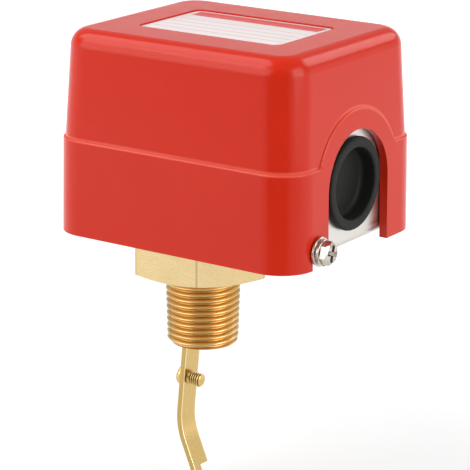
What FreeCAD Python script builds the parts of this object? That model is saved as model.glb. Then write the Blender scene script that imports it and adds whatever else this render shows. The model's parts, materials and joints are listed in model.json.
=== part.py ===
"""Paddle flow switch with a half-inch male pipe thread: one document, one node per piece.

Millimetres, +Z up. The origin is on the axis of the pipe thread, at the shoulder where the
thread meets the hexagon. The cable enters at the +X end and the water flows towards +X.
"""
import FreeCAD, Part
import math
import os

import Sketcher
from FreeCAD import Placement, Rotation, Vector

DIMENSIONS = {
    # pipe thread body, R 1/2: major diameter at the gauge plane, 20.955
    "thread_radius": 10.4775,
    "thread_length": 21.0,
    "thread_chamfer": 1.2,
    "hex_flats": 36.0,
    "hex_height": 15.2,
    "hex_bevel": 0.8,
    "bore_radius": 7.0,
    "chamber_radius": 10.0,
    "chamber_floor": 0.5,
    "seat_radius": 13.0,
    "seat_depth": 2.5,
    "body_screw_circle": 16.5,
    "tapped_depth": 8.0,
    "ring_circle": 11.6,
    "ring_wire": 1.2,
    "ring_groove_width": 1.6,
    "ring_groove_depth": 1.3,
    # pivot and lever
    "pivot_height": 21.0,
    "rest_tilt": 5.2,
    "pin_radius": 1.25,
    "hub_radius": 9.5,
    "hub_top": 24.5,
    "hub_bore": 6.0,
    "hub_slot": 7.2,
    "bellows_neck": 6.2,
    "bellows_crest": 7.6,
    "bellows_root": 5.7,
    "bellows_wall": 0.25,
    "cap_radius": 6.4,
    "cap_thickness": 1.2,
    "rod_radius": 3.0,
    "rod_bottom": 12.0,
    "rod_shoulder": 26.0,
    "rod_top": 31.5,
    "rod_slot_depth": 8.0,
    "lever_plate_thickness": 1.2,
    "lever_plate_tab": 6.0,
    "lever_plate_reach": 13.2,
    "lever_plate_width": 10.0,
    "lever_tab_top": 41.0,
    "lever_nose": 3.0,
    "nut_flats": 7.0,
    "nut_height": 3.0,
    # paddle arm
    "arm_width": 7.0,
    "arm_thickness": 1.6,
    "arm_bend_start": 43.0,
    "arm_bend_radius": 20.0,
    "arm_bend_angle": 28.0,
    "arm_tail": 10.6,
    "arm_tail_step": 2.6,
    "arm_rounding": 0.25,
    "arm_screw_height": 33.6,
    "arm_screw_head": 2.9,
    "arm_screw_rise": 2.0,
    "arm_screw_length": 5.4,
    # cover
    "cover_shift": 10.8,
    "cover_floor": 14.0,
    "cover_length": 80.0,
    "cover_width": 65.4,
    "cover_corner": 10.0,
    "cover_draft": 0.4,
    "cover_height": 56.5,
    "band_height": 26.6,
    "band_step": 0.6,
    "band_rounding": 0.45,
    "arch_foot": 1.5,
    "top_length": 75.0,
    "top_width": 60.6,
    "top_fillet": 5.0,
    "cover_wall": 2.4,
    "label_length": 46.0,
    "label_width": 29.4,
    "label_corner": 2.5,
    "label_depth": 1.2,
    "label_thickness": 0.3,
    # cable entry, on the +X end
    "entry_height": 32.5,
    "entry_radius": 15.0,
    "arch_radius": 20.6,
    "grommet_radius": 12.8,
    "grommet_hole": 11.0,
    "dish_radius": 9.7,
    "dish_depth": 4.4,
    "grommet_lip": 0.6,
    "grommet_proud": 1.8,
    # sheet-metal frame
    "plate_gauge": 1.5,
    "frame_right": 47.9,
    "frame_left": 26.4,
    "frame_width": 46.0,
    "frame_wall_top": 50.0,
    "frame_tab_top": 25.0,
    "bend_radius": 0.6,
    # fasteners: M4 machine screws, and smaller ones at the terminals
    "m_four": 1.95,
    "pan_radius": 3.5,
    "pan_height": 2.4,
    "body_screw_length": 8.8,
    "ground_screw_length": 5.0,
    "ground_washer_radius": 4.4,
    "washer_thickness": 0.8,
    "terminal_screw_radius": 1.6,
    "terminal_screw_length": 5.0,
    "terminal_head_radius": 3.1,
    "terminal_head_height": 2.0,
    # cover screws
    "cover_head_radius": 3.25,
    "cover_head_height": 2.2,
    "cover_screw_length": 8.0,
    "flat_washer_radius": 4.0,
    "spring_washer_radius": 3.4,
    "spring_washer_thickness": 1.1,
    "cover_screw_side": 20.0,
    "cover_screw_height": 18.8,
    "cover_slot": 5.2,
    "ground_along": 38.0,
    "ground_aside": 12.0,
    # range adjuster
    "range_height": 36.0,
    "range_wall": 22.5,
    "range_foot": 13.0,
    "range_foot_along": 16.6,
    "range_foot_aside": 9.5,
    "seat_size": 10.0,
    "seat_thickness": 3.0,
    "seat_rest": 19.5,
    "spigot_radius": 2.6,
    "range_bracket_rise": 6.5,
    "range_wing_thickness": 1.2,
    "range_wing_half_height": 5.0,
    "range_head_radius": 3.2,
    "range_head_height": 1.95,
    "range_screw_end": 9.5,
    "range_clip_radius": 3.6,
    "range_clip_thickness": 0.6,
    "spring_radius": 3.2,
    "spring_wire": 0.8,
    "spring_end": 5.1,
    "spring_turns": 4.5,
    # microswitch
    "switch_centre": 10.7,
    "switch_thickness": 17.45,
    "switch_bottom": 33.0,
    "switch_height": 20.0,
    "switch_left": 22.2,
    "switch_right": 27.0,
    "switch_hole_spacing": 25.4,
    "switch_hole_height": 40.0,
    "case_right_shelf": 11.8,
    "case_tower_start": 21.4,
    "case_mid_shelf": 12.4,
    "case_left_shelf": 11.0,
    "case_barrier_rise": 1.6,
    "barrel_radius": 4.5,
    "barrel_length": 3.5,
    "plunger_radius": 2.2,
    "plunger_tip": 26.55,
    "plunger_length": 9.4,
    "insulation": 0.4,
    "terminal_shelf": 47.0,
    "terminal_step": 3.5,
    "terminal_thickness": 1.0,
    "terminal_size": 8.4,
    "common_inset": 6.0,
    "open_inset": 5.5,
    "closed_inset": 16.9,
    "terminal_fence_height": 1.6,
    "terminal_fence_thickness": 0.8,
    "switch_wall_top": 50.0,
    "switch_bracket_width": 40.0,
    "switch_foot_end": 33.0,
    "switch_foot_along": 27.5,
    "switch_foot_aside": 8.0,
}

doc = FreeCAD.newDocument("paddle_flow_switch")
parts = []


# --------------------------------------------------------------------------- sizes and sheet

class Size:
    """A length with the spreadsheet expression that gives it."""

    def __init__(self, value, text):
        self.value = value
        self.text = text

    def __add__(self, other):
        other = size(other)
        return Size(self.value + other.value, f"({self.text} + {other.text})")

    def __radd__(self, other):
        return size(other) + self

    def __sub__(self, other):
        other = size(other)
        return Size(self.value - other.value, f"({self.text} - {other.text})")

    def __rsub__(self, other):
        return size(other) - self

    def __mul__(self, number):
        return Size(self.value * number, f"({self.text} * {number})")

    __rmul__ = __mul__

    def __truediv__(self, number):
        return Size(self.value / number, f"({self.text} / {number})")

    def __neg__(self):
        return Size(-self.value, f"(-{self.text})")


def size(value):
    """A plain number as a Size; a Size stays itself."""
    if isinstance(value, Size):
        return value
    return Size(float(value), f"({float(value)!r})")


def across(length, angle):
    """length times the sine of an angle given in degrees."""
    sine = math.sin(math.radians(angle.value))
    return Size(length.value * sine, f"({length.text} * sin({angle.text} * 1 deg))")


def third_side(longest, side):
    """The other short side of a right-angled triangle."""
    value = math.sqrt(longest.value ** 2 - side.value ** 2)
    return Size(value, f"sqrt({longest.text}^2 - {side.text}^2)")


def scaled(length, top, bottom):
    """length times the ratio of two others."""
    value = length.value * top.value / bottom.value
    return Size(value, f"({length.text} * {top.text} / {bottom.text})")


def along(length, angle):
    """length times the cosine of an angle given in degrees."""
    cosine = math.cos(math.radians(angle.value))
    return Size(length.value * cosine, f"({length.text} * cos({angle.text} * 1 deg))")


class Dimensions:
    """The driving dimensions: a spreadsheet whose aliases read as attributes."""

    def __init__(self, values):
        table = doc.addObject("Spreadsheet::Sheet", "dims")
        for row, (alias, value) in enumerate(values.items(), start=1):
            table.set(f"A{row}", alias)
            table.set(f"B{row}", str(value))
            table.setAlias(f"B{row}", alias)
            setattr(self, alias, Size(value, f"dims.{alias}"))
        doc.recompute()


d = Dimensions(DIMENSIONS)
plate_top = d.hex_height + d.plate_gauge
half_wall = d.frame_width / 2
cover_middle = d.cover_shift
grommet_face = d.frame_right + d.grommet_proud


# --------------------------------------------------------------------------- sketches, features

def new_body(name):
    """An empty body that becomes the node of that name."""
    body = doc.addObject("PartDesign::Body", name)
    body.Label = name
    parts.append(body)
    return body


def new_sketch(body, name, role, offset=0):
    """A sketch on one of the body's own origin planes, moved along the plane's normal."""
    sketch = body.newObject("Sketcher::SketchObject", name)
    planes = [o for o in body.Origin.OriginFeatures if o.Role == role]
    sketch.AttachmentSupport = [(planes[0], "")]
    sketch.MapMode = "FlatFace"
    offset = size(offset)
    sketch.AttachmentOffset = Placement(Vector(0, 0, offset.value), Rotation())
    sketch.setExpression("AttachmentOffset.Base.z", offset.text)
    return sketch


def pin_point(sketch, geometry, point, direction, value):
    """Holds one coordinate of a point at a size measured from the sketch's origin."""
    if abs(value.value) < 1e-9:
        on_axis = -2 if direction == "DistanceX" else -1
        sketch.addConstraint(Sketcher.Constraint("PointOnObject", geometry, point, on_axis))
        return
    number = sketch.addConstraint(
        Sketcher.Constraint(direction, -1, 1, geometry, point, value.value)
    )
    sketch.setExpression(f"Constraints[{number}]", value.text)


def outline(sketch, corners, arcs=None):
    """A closed outline through corners. arcs gives, for the edge that leaves a corner,
    the centre of its arc and whether the arc turns anticlockwise."""
    arcs = arcs or {}
    corners = [(size(x), size(y)) for x, y in corners]
    count = len(corners)
    edges = []
    for i, (x, y) in enumerate(corners):
        start = Vector(x.value, y.value, 0)
        x_end, y_end = corners[(i + 1) % count]
        end = Vector(x_end.value, y_end.value, 0)
        if i in arcs:
            geometry = arc_between(start, end, arcs[i])
        else:
            geometry = Part.LineSegment(start, end)
        edges.append(sketch.addGeometry(geometry, False))
    for i in range(count):
        here = 1 if not (i in arcs and not arcs[i][2]) else 2
        before = (i - 1) % count
        last = 2 if not (before in arcs and not arcs[before][2]) else 1
        sketch.addConstraint(
            Sketcher.Constraint("Coincident", edges[before], last, edges[i], here)
        )
        pin_point(sketch, edges[i], here, "DistanceX", corners[i][0])
        pin_point(sketch, edges[i], here, "DistanceY", corners[i][1])
    for i, (centre_x, centre_y, _) in arcs.items():
        chord_x = corners[(i + 1) % count][0].value - corners[i][0].value
        chord_y = corners[(i + 1) % count][1].value - corners[i][1].value
        if abs(chord_y) > abs(chord_x):
            pin_point(sketch, edges[i], 3, "DistanceX", size(centre_x))
        else:
            pin_point(sketch, edges[i], 3, "DistanceY", size(centre_y))
    return sketch


def arc_between(start, end, arc):
    """The arc from start to end round a centre; an arc is stored anticlockwise."""
    centre = Vector(size(arc[0]).value, size(arc[1]).value, 0)
    if not arc[2]:
        start, end = end, start
    first = math.atan2(start.y - centre.y, start.x - centre.x)
    last = math.atan2(end.y - centre.y, end.x - centre.x)
    if last <= first:
        last += 2 * math.pi
    circle_round = Part.Circle(centre, Vector(0, 0, 1), start.distanceToPoint(centre))
    return Part.ArcOfCircle(circle_round, first, last)


def rounded_corners(x_low, x_high, y_low, y_high, radius):
    """Corners and arcs of a rounded rectangle, anticlockwise from its lower left."""
    x_low, x_high, y_low, y_high = (size(v) for v in (x_low, x_high, y_low, y_high))
    left, right = x_low + radius, x_high - radius
    low, high = y_low + radius, y_high - radius
    corners = [
        (left, y_low), (right, y_low), (x_high, low), (x_high, high),
        (right, y_high), (left, y_high), (x_low, high), (x_low, low),
    ]
    arcs = {
        1: (right, low, True), 3: (right, high, True),
        5: (left, high, True), 7: (left, low, True),
    }
    return corners, arcs


def rounded_box(sketch, x_low, x_high, y_low, y_high, radius):
    """A rounded rectangle between the given limits."""
    return outline(sketch, *rounded_corners(x_low, x_high, y_low, y_high, size(radius)))


def rectangle(sketch, x_low, x_high, y_low, y_high):
    """A plain rectangle between the given limits."""
    return outline(sketch, [(x_low, y_low), (x_high, y_low), (x_high, y_high), (x_low, y_high)])


def arch(sketch, half_width, middle, foot, centre=0):
    """A doorway outline: a half circle on two straight sides that stand on foot."""
    half_width, centre = size(half_width), size(centre)
    left, right = centre - half_width, centre + half_width
    corners = [(left, foot), (right, foot), (right, middle), (left, middle)]
    return outline(sketch, corners, {2: (centre, middle, True)})


def arch_cap(sketch, radius, middle, foot):
    """The part of a circle that stands above a foot higher than its middle."""
    reach = third_side(radius, foot - middle)
    return outline(sketch, [(-reach, foot), (reach, foot)], {1: (0, middle, True)})


def circle(sketch, radius, x=0, y=0):
    """A full circle."""
    radius, x, y = size(radius), size(x), size(y)
    shape = Part.Circle(Vector(x.value, y.value, 0), Vector(0, 0, 1), radius.value)
    number = sketch.addGeometry(shape, False)
    pin_point(sketch, number, 3, "DistanceX", x)
    pin_point(sketch, number, 3, "DistanceY", y)
    held = sketch.addConstraint(Sketcher.Constraint("Radius", number, radius.value))
    sketch.setExpression(f"Constraints[{held}]", radius.text)
    return sketch


def pad(body, sketch, length, both_ways=False, backwards=False):
    """Material from a sketch, over a length along its normal."""
    feature = body.newObject("PartDesign::Pad", f"pad_{sketch.Name}")
    feature.Profile = sketch
    feature.setExpression("Length", size(length).text)
    feature.Midplane = both_ways
    feature.Reversed = backwards
    return settle(body, feature)


def pocket(body, sketch, length, both_ways=False, backwards=False):
    """A cut from a sketch, against its normal unless backwards."""
    volume = body.Shape.Volume
    feature = body.newObject("PartDesign::Pocket", f"cut_{sketch.Name}")
    feature.Profile = sketch
    feature.setExpression("Length", size(length).text)
    feature.Midplane = both_ways
    feature.Reversed = backwards
    settle(body, feature)
    if body.Shape.Volume >= volume:
        raise RuntimeError(f"{feature.Name} cuts nothing")
    return feature


def revolve(body, sketch, axis="V_Axis"):
    """A full turn of a sketch about one of its own axes."""
    feature = body.newObject("PartDesign::Revolution", f"turn_{sketch.Name}")
    feature.Profile = sketch
    feature.ReferenceAxis = (sketch, [axis])
    feature.Angle = 360
    return settle(body, feature)


def groove(body, sketch, axis="V_Axis"):
    """A turned cut."""
    volume = body.Shape.Volume
    feature = body.newObject("PartDesign::Groove", f"groove_{sketch.Name}")
    feature.Profile = sketch
    feature.ReferenceAxis = (sketch, [axis])
    feature.Angle = 360
    settle(body, feature)
    if body.Shape.Volume >= volume:
        raise RuntimeError(f"{feature.Name} cuts nothing")
    return feature


def settle(body, feature):
    """Makes a feature the body's tip and brings the document up to date."""
    body.Tip = feature
    doc.recompute()
    return feature


def group(name, master, places):
    """Copies of a master body, each at its own placement, as one node."""
    parts.remove(master)
    master.Label = f"{name}_master"
    links = []
    for number, place in enumerate(places):
        link = doc.addObject("App::Link", f"{name}_{number}")
        link.LinkedObject = master
        link.Placement = place
        links.append(link)
    compound = doc.addObject("Part::Compound", name)
    compound.Label = name
    compound.Links = links
    parts.append(compound)
    doc.recompute()
    return compound


def turned(name, corners, arcs=None):
    """A body turned about Z from a half profile of radius and height."""
    body = new_body(name)
    revolve(body, outline(new_sketch(body, f"{name}_profile", "XZ_Plane"), corners, arcs))
    return body


def tilt():
    """The lever's rest position: turned about the pivot pin, its foot towards -X."""
    pivot = Vector(0, 0, d.pivot_height.value)
    return Placement(Vector(), Rotation(Vector(0, 1, 0), d.rest_tilt.value), pivot)


TO_X = Rotation(Vector(0, 1, 0), 90)
TO_MINUS_X = Rotation(Vector(0, 1, 0), -90)


# --------------------------------------------------------------------------- fasteners

def plain_screw(name, shank, length, head_radius, head_height):
    """A screw whose head sits on z = 0 with its flat top up and its shank down."""
    return turned(name, [
        (0, -length),
        (shank, -length),
        (shank, 0),
        (head_radius, 0),
        (head_radius, head_height),
        (0, head_height),
    ])


def wire_section(centre, radius):
    """Corners of a hexagon that stands for round wire, centred on the sketch's X axis."""
    rise = radius * (math.sqrt(3) / 2)
    return [
        (centre + radius, 0), (centre + radius / 2, rise), (centre - radius / 2, rise),
        (centre - radius, 0), (centre - radius / 2, -rise), (centre + radius / 2, -rise),
    ]


def washer(name, inner, outer, thickness):
    """A flat ring that stands on z = 0."""
    return turned(name, [(inner, 0), (outer, 0), (outer, thickness), (inner, thickness)])


# --------------------------------------------------------------------------- brass body

def brass_body():
    """The hexagon with the male pipe thread, bored for the lever and its bellows."""
    body = new_body("brass_body")
    hexagon = new_sketch(body, "hexagon", "XY_Plane")
    corner = d.hex_flats / math.sqrt(3)
    flat = d.hex_flats / 2
    outline(hexagon, [
        (corner, 0), (corner / 2, flat), (-corner / 2, flat),
        (-corner, 0), (-corner / 2, -flat), (corner / 2, -flat),
    ])
    pad(body, hexagon, d.hex_height)

    bevel = new_sketch(body, "hexagon_bevel", "XZ_Plane")
    outline(bevel, [(flat, 0), (corner + 1, 0), (corner + 1, d.hex_bevel * 1.35)])
    groove(body, bevel)

    shank = new_sketch(body, "thread_shank", "XZ_Plane")
    outline(shank, [
        (0, 0),
        (0, -d.thread_length),
        (d.thread_radius - d.thread_chamfer, -d.thread_length),
        (d.thread_radius, d.thread_chamfer - d.thread_length),
        (d.thread_radius, 0),
    ])
    revolve(body, shank)

    bore = new_sketch(body, "bore", "XZ_Plane")
    seat = d.hex_height - d.seat_depth
    ring_inner = d.ring_circle - d.ring_groove_width / 2
    ring_outer = d.ring_circle + d.ring_groove_width / 2
    ring_depth = d.ring_groove_depth
    outline(bore, [
        (0, -d.thread_length - 1),
        (d.bore_radius + 1.4, -d.thread_length - 1),
        (d.bore_radius, 0.4 - d.thread_length),
        (d.bore_radius, d.chamber_floor),
        (d.chamber_radius, d.chamber_floor),
        (d.chamber_radius, seat),
        (ring_inner, seat),
        (ring_inner, seat - ring_depth),
        (ring_outer, seat - ring_depth),
        (ring_outer, seat),
        (d.seat_radius, seat),
        (d.seat_radius, d.hex_height + 1),
        (0, d.hex_height + 1),
    ])
    groove(body, bore)

    tapped = new_sketch(body, "body_tapped_holes", "XY_Plane", d.hex_height)
    for x, y in body_screw_places():
        circle(tapped, d.m_four + 0.05, x, y)
    pocket(body, tapped, d.tapped_depth)


def body_screw_places():
    """Centres of the four screws that clamp the frame, towards four hexagon corners."""
    x = d.body_screw_circle * 0.5
    y = d.body_screw_circle * (math.sqrt(3) / 2)
    return [(x, y), (-x, y), (-x, -y), (x, -y)]


def body_screws():
    """Four M4 pan-head screws through the frame into the hexagon."""
    master = plain_screw("body_screw", d.m_four, d.body_screw_length, d.pan_radius, d.pan_height)
    height = plate_top.value
    places = [
        Placement(Vector(x.value, y.value, height), Rotation()) for x, y in body_screw_places()
    ]
    group("body_screws", master, places)


# --------------------------------------------------------------------------- seal and pivot

def bellows_flange():
    """The turned disc in the hexagon, with two ears that carry the pivot pin."""
    seat = d.hex_height - d.seat_depth
    body = turned("bellows_flange", [
        (d.hub_bore, seat),
        (d.seat_radius - 0.1, seat),
        (d.seat_radius - 0.1, d.hex_height),
        (d.hub_radius, d.hex_height),
        (d.hub_radius, d.hub_top - 0.8),
        (d.hub_radius - 0.8, d.hub_top),
        (d.hub_bore, d.hub_top),
    ])
    slot = new_sketch(body, "lever_slot", "YZ_Plane")
    floor = plate_top + 0.4
    half = d.hub_slot / 2
    rectangle(slot, -half, half, floor, d.hub_top + 1)
    pocket(body, slot, d.hub_radius * 2 + 2, both_ways=True)
    hole = new_sketch(body, "pin_hole", "XZ_Plane")
    circle(hole, d.pin_radius + 0.02, 0, d.pivot_height)
    pocket(body, hole, d.hub_radius * 2 + 2, both_ways=True)


def flange_o_ring():
    """The ring that seals the flange in the hexagon."""
    ring = turned("flange_o_ring", wire_section(d.ring_circle, d.ring_wire / 2))
    height = d.hex_height - d.seat_depth - d.ring_groove_depth / 2
    ring.Placement = Placement(Vector(0, 0, height.value), Rotation())


BELLOWS_FOLDS = 4


def bellows_shape(wall):
    """The folded tube, its foot shifted with the leaning rod, shrunk inwards by wall."""
    top = (d.hex_height - d.seat_depth).value
    foot = bellows_foot().value
    lean = math.tan(math.radians(d.rest_tilt.value))
    foot_shift = -(d.pivot_height.value - foot) * lean
    neck, crest, root = d.bellows_neck.value, d.bellows_crest.value, d.bellows_root.value
    radii = [neck, neck] + [crest, root] * (BELLOWS_FOLDS - 1) + [crest, neck, neck]
    steps = len(radii) - 1
    rings = []
    for number, radius in enumerate(radii):
        share = number / steps
        centre = Vector(foot_shift * (1 - share), 0, foot + (top - foot) * share)
        rings.append(Part.Wire(Part.makeCircle(radius - wall, centre)))
    return Part.makeLoft(rings, True, True)


def bellows_foot():
    """Height of the joint between the bellows and its cap."""
    return d.chamber_floor + 2.5


def bellows():
    """Thin corrugated brass tube between the flange and the cap on the lever rod."""
    feature = doc.addObject("Part::Feature", "bellows")
    feature.Label = "bellows"
    feature.Shape = bellows_shape(0.0).cut(bellows_shape(d.bellows_wall.value))
    parts.append(feature)


def bellows_cap():
    """The disc that closes the bellows, soldered round the leaning lever rod."""
    bottom = (bellows_foot() - d.cap_thickness).value
    middle = (bellows_foot() - d.cap_thickness / 2).value
    lean = math.tan(math.radians(d.rest_tilt.value))
    shift = -(d.pivot_height.value - middle) * lean
    disc = Part.makeCylinder(d.cap_radius.value, d.cap_thickness.value, Vector(shift, 0, bottom))
    rod = Part.makeCylinder(d.rod_radius.value + 0.05, d.rod_bottom.value + d.rod_top.value,
                            Vector(0, 0, -d.rod_bottom.value))
    rod.Placement = tilt()
    feature = doc.addObject("Part::Feature", "bellows_cap")
    feature.Label = "bellows_cap"
    feature.Shape = disc.cut(rod)
    parts.append(feature)


def pivot_pin():
    """The pin across the two ears that the lever turns on."""
    pin = doc.addObject("Part::Cylinder", "pivot_pin")
    pin.Label = "pivot_pin"
    pin.setExpression("Radius", d.pin_radius.text)
    pin.setExpression("Height", (d.hub_radius * 2 - 1.6).text)
    start = d.hub_radius - 0.8
    pin.Placement = Placement(
        Vector(0, start.value, d.pivot_height.value), Rotation(Vector(1, 0, 0), 90)
    )
    parts.append(pin)


# --------------------------------------------------------------------------- lever

def lever_rod():
    """The brass rod from the paddle arm up through the bellows to the lever plate."""
    body = turned("lever_rod", [
        (0, -d.rod_bottom),
        (d.rod_radius - 0.4, -d.rod_bottom),
        (d.rod_radius, 0.4 - d.rod_bottom),
        (d.rod_radius, d.rod_shoulder),
        (d.m_four, d.rod_shoulder),
        (d.m_four, d.rod_top - 0.5),
        (d.m_four - 0.5, d.rod_top),
        (0, d.rod_top),
    ])
    pin = new_sketch(body, "rod_pin_hole", "XZ_Plane")
    circle(pin, d.pin_radius + 0.05, 0, d.pivot_height)
    pocket(body, pin, d.rod_radius * 2 + 2, both_ways=True)
    slot = new_sketch(body, "rod_arm_slot", "XZ_Plane")
    half = d.arm_thickness / 2 + 0.02
    rectangle(slot, -half, half, -d.rod_bottom - 1, d.rod_slot_depth - d.rod_bottom)
    pocket(body, slot, d.rod_radius * 2 + 2, both_ways=True)
    body.Placement = tilt()


def lever_plate():
    """The bent steel plate on the rod: one end lifts the plunger, the tab takes the spring."""
    body = new_body("lever_plate")
    low = d.rod_shoulder
    high = low + d.lever_plate_thickness
    back = -d.lever_plate_tab
    front = back + d.lever_plate_thickness
    bend = d.bend_radius
    profile = new_sketch(body, "lever_plate_profile", "XZ_Plane")
    outer = bend + d.lever_plate_thickness
    corners = [
        (back + outer, low),
        (d.lever_plate_reach, low),
        (d.lever_plate_reach, high),
        (front + bend, high),
        (front, high + bend),
        (front, d.lever_tab_top),
        (back, d.lever_tab_top),
        (back, low + outer),
    ]
    centre = (back + outer, low + outer)
    outline(profile, corners, {3: (*centre, False), 7: (*centre, True)})
    pad(body, profile, d.lever_plate_width, both_ways=True)
    hole = new_sketch(body, "lever_plate_hole", "XY_Plane", high + 1)
    circle(hole, d.m_four + 0.1)
    pocket(body, hole, d.lever_plate_thickness + 2)
    nose = new_sketch(body, "lever_plate_nose", "XY_Plane", high + 1)
    half = d.lever_plate_width / 2
    tip = d.lever_nose / 2
    end = d.lever_plate_reach
    for side in (1, -1):
        outline(nose, [
            (end - half + tip, half * side), (end + 1, half * side), (end + 1, tip * side),
            (end, tip * side),
        ])
    pocket(body, nose, d.lever_plate_thickness + 2)
    body.Placement = tilt()


def lever_nut():
    """The M4 nut that holds the lever plate on the rod."""
    body = new_body("lever_nut")
    flat = d.nut_flats / 2
    corner = d.nut_flats / math.sqrt(3)
    profile = new_sketch(body, "lever_nut_profile", "XY_Plane",
                         d.rod_shoulder + d.lever_plate_thickness)
    outline(profile, [
        (corner, 0), (corner / 2, flat), (-corner / 2, flat),
        (-corner, 0), (-corner / 2, -flat), (corner / 2, -flat),
    ])
    circle(profile, d.m_four + 0.02)
    pad(body, profile, d.nut_height)
    body.Placement = tilt()


def paddle_arm():
    """The flat brass strip: straight to the bend, then curved the way the water goes."""
    body = new_body("paddle_arm")
    half = d.arm_thickness / 2
    top = d.rod_slot_depth - d.rod_bottom - 0.1
    start = -d.arm_bend_start
    radius, angle = d.arm_bend_radius, d.arm_bend_angle
    inner, outer = radius - half, radius + half
    inner_end = (radius - along(inner, angle), start - across(inner, angle))
    outer_end = (radius - along(outer, angle), start - across(outer, angle))
    tail_x, tail_z = across(d.arm_tail, angle), along(d.arm_tail, angle)
    profile = new_sketch(body, "arm_profile", "XZ_Plane")
    outline(profile, [
        (-half, top),
        (-half, start),
        outer_end,
        (outer_end[0] + tail_x, outer_end[1] - tail_z),
        (inner_end[0] + tail_x, inner_end[1] - tail_z),
        inner_end,
        (half, start),
        (half, top),
    ], {1: (radius, start, True), 5: (radius, start, False)})
    pad(body, profile, d.arm_width, both_ways=True)
    half_width = d.arm_width.value / 2
    round_edges(body, "arm_rounding", d.arm_rounding,
                lambda edge: all(abs(abs(v.Y) - half_width) < 1e-4 for v in edge.Vertexes)
                and abs(edge.Vertexes[0].Z - edge.Vertexes[-1].Z) > 2)

    step = new_sketch(body, "arm_tail_step", "XZ_Plane", 0.4)
    cut_x, cut_z = across(d.arm_tail_step, angle), along(d.arm_tail_step, angle)
    shoulder_x = outer_end[0] + tail_x - cut_x
    shoulder_z = outer_end[1] - tail_z + cut_z
    slab_x, slab_z = along(size(4), angle), across(size(4), angle)
    over_x, over_z = across(size(6), angle), along(size(6), angle)
    outline(step, [
        (shoulder_x - slab_x / 2, shoulder_z - slab_z / 2),
        (shoulder_x - slab_x / 2 + over_x, shoulder_z - slab_z / 2 - over_z),
        (shoulder_x + slab_x + over_x, shoulder_z + slab_z - over_z),
        (shoulder_x + slab_x, shoulder_z + slab_z),
    ])
    pocket(body, step, d.arm_width)

    hole = new_sketch(body, "arm_screw_hole", "YZ_Plane", 5)
    circle(hole, d.m_four + 0.05, 0, -d.arm_screw_height)
    pocket(body, hole, 10)
    body.Placement = tilt()


def paddle_screw():
    """The round-head brass screw through the arm, its thread end towards +X. As on a screw
    with a rolled thread, the plain shank through the arm is slimmer than the thread."""
    head, rim = d.arm_screw_rise, d.arm_screw_head
    shank_end = d.arm_screw_length
    thread_start = d.arm_thickness + 0.3
    body = turned("paddle_screw", [
        (0, shank_end),
        (d.m_four - 0.4, shank_end),
        (d.m_four, shank_end - 0.4),
        (d.m_four, thread_start),
        (d.m_four - 0.2, thread_start),
        (d.m_four - 0.2, 0),
        (rim, 0),
        (rim, -head / 4),
        (rim / 2, -head),
        (0, -head),
    ])
    slot = new_sketch(body, "paddle_screw_slot", "XZ_Plane")
    rectangle(slot, -0.4, 0.4, -head - 1, 0.8 - head)
    pocket(body, slot, 8, both_ways=True)
    half = d.arm_thickness / 2
    lay = Placement(Vector(-half.value, 0, -d.arm_screw_height.value), TO_X)
    body.Placement = tilt().multiply(lay)


# --------------------------------------------------------------------------- cover

def cover_section(sketch, shrink, length, width, corner):
    """A rounded rectangle about the cover's middle, smaller by shrink on every side."""
    half_x = size(length) / 2 - shrink
    half_y = size(width) / 2 - shrink
    return rounded_box(sketch, cover_middle - half_x, cover_middle + half_x,
                       -half_y, half_y, size(corner) - shrink)


def loft(body, kind, name, sections):
    """A straight-sided loft through sections: height, shrink, length, width, corner."""
    sketches = []
    for number, (height, shrink, length, width, corner) in enumerate(sections):
        sketch = new_sketch(body, f"{name}_{number}", "XY_Plane", height)
        sketches.append(cover_section(sketch, shrink, length, width, corner))
    feature = body.newObject(kind, name)
    feature.Profile = sketches[0]
    feature.Sections = sketches[1:]
    feature.Ruled = True
    return settle(body, feature)


def round_edges(body, name, radius, wanted):
    """Rounds the edges of the body that the test accepts."""
    base = body.Tip
    names = [
        f"Edge{number}" for number, edge in enumerate(base.Shape.Edges, start=1) if wanted(edge)
    ]
    feature = body.newObject("PartDesign::Fillet", name)
    feature.Base = (base, names)
    feature.setExpression("Radius", size(radius).text)
    return settle(body, feature)


def cover():
    """The moulded red cover: a drafted shell with a proud lower band, an arch round the
    cable opening, two screw slots and a recess for the label."""
    body = new_body("cover")
    floor = d.cover_floor
    waist = floor + d.band_height
    top = floor + d.cover_height
    cover_band(body, floor, waist, top)
    cover_upper(body, waist, top)
    cover_inside(body, floor, waist, top)
    cover_openings(body, floor, top)


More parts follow.
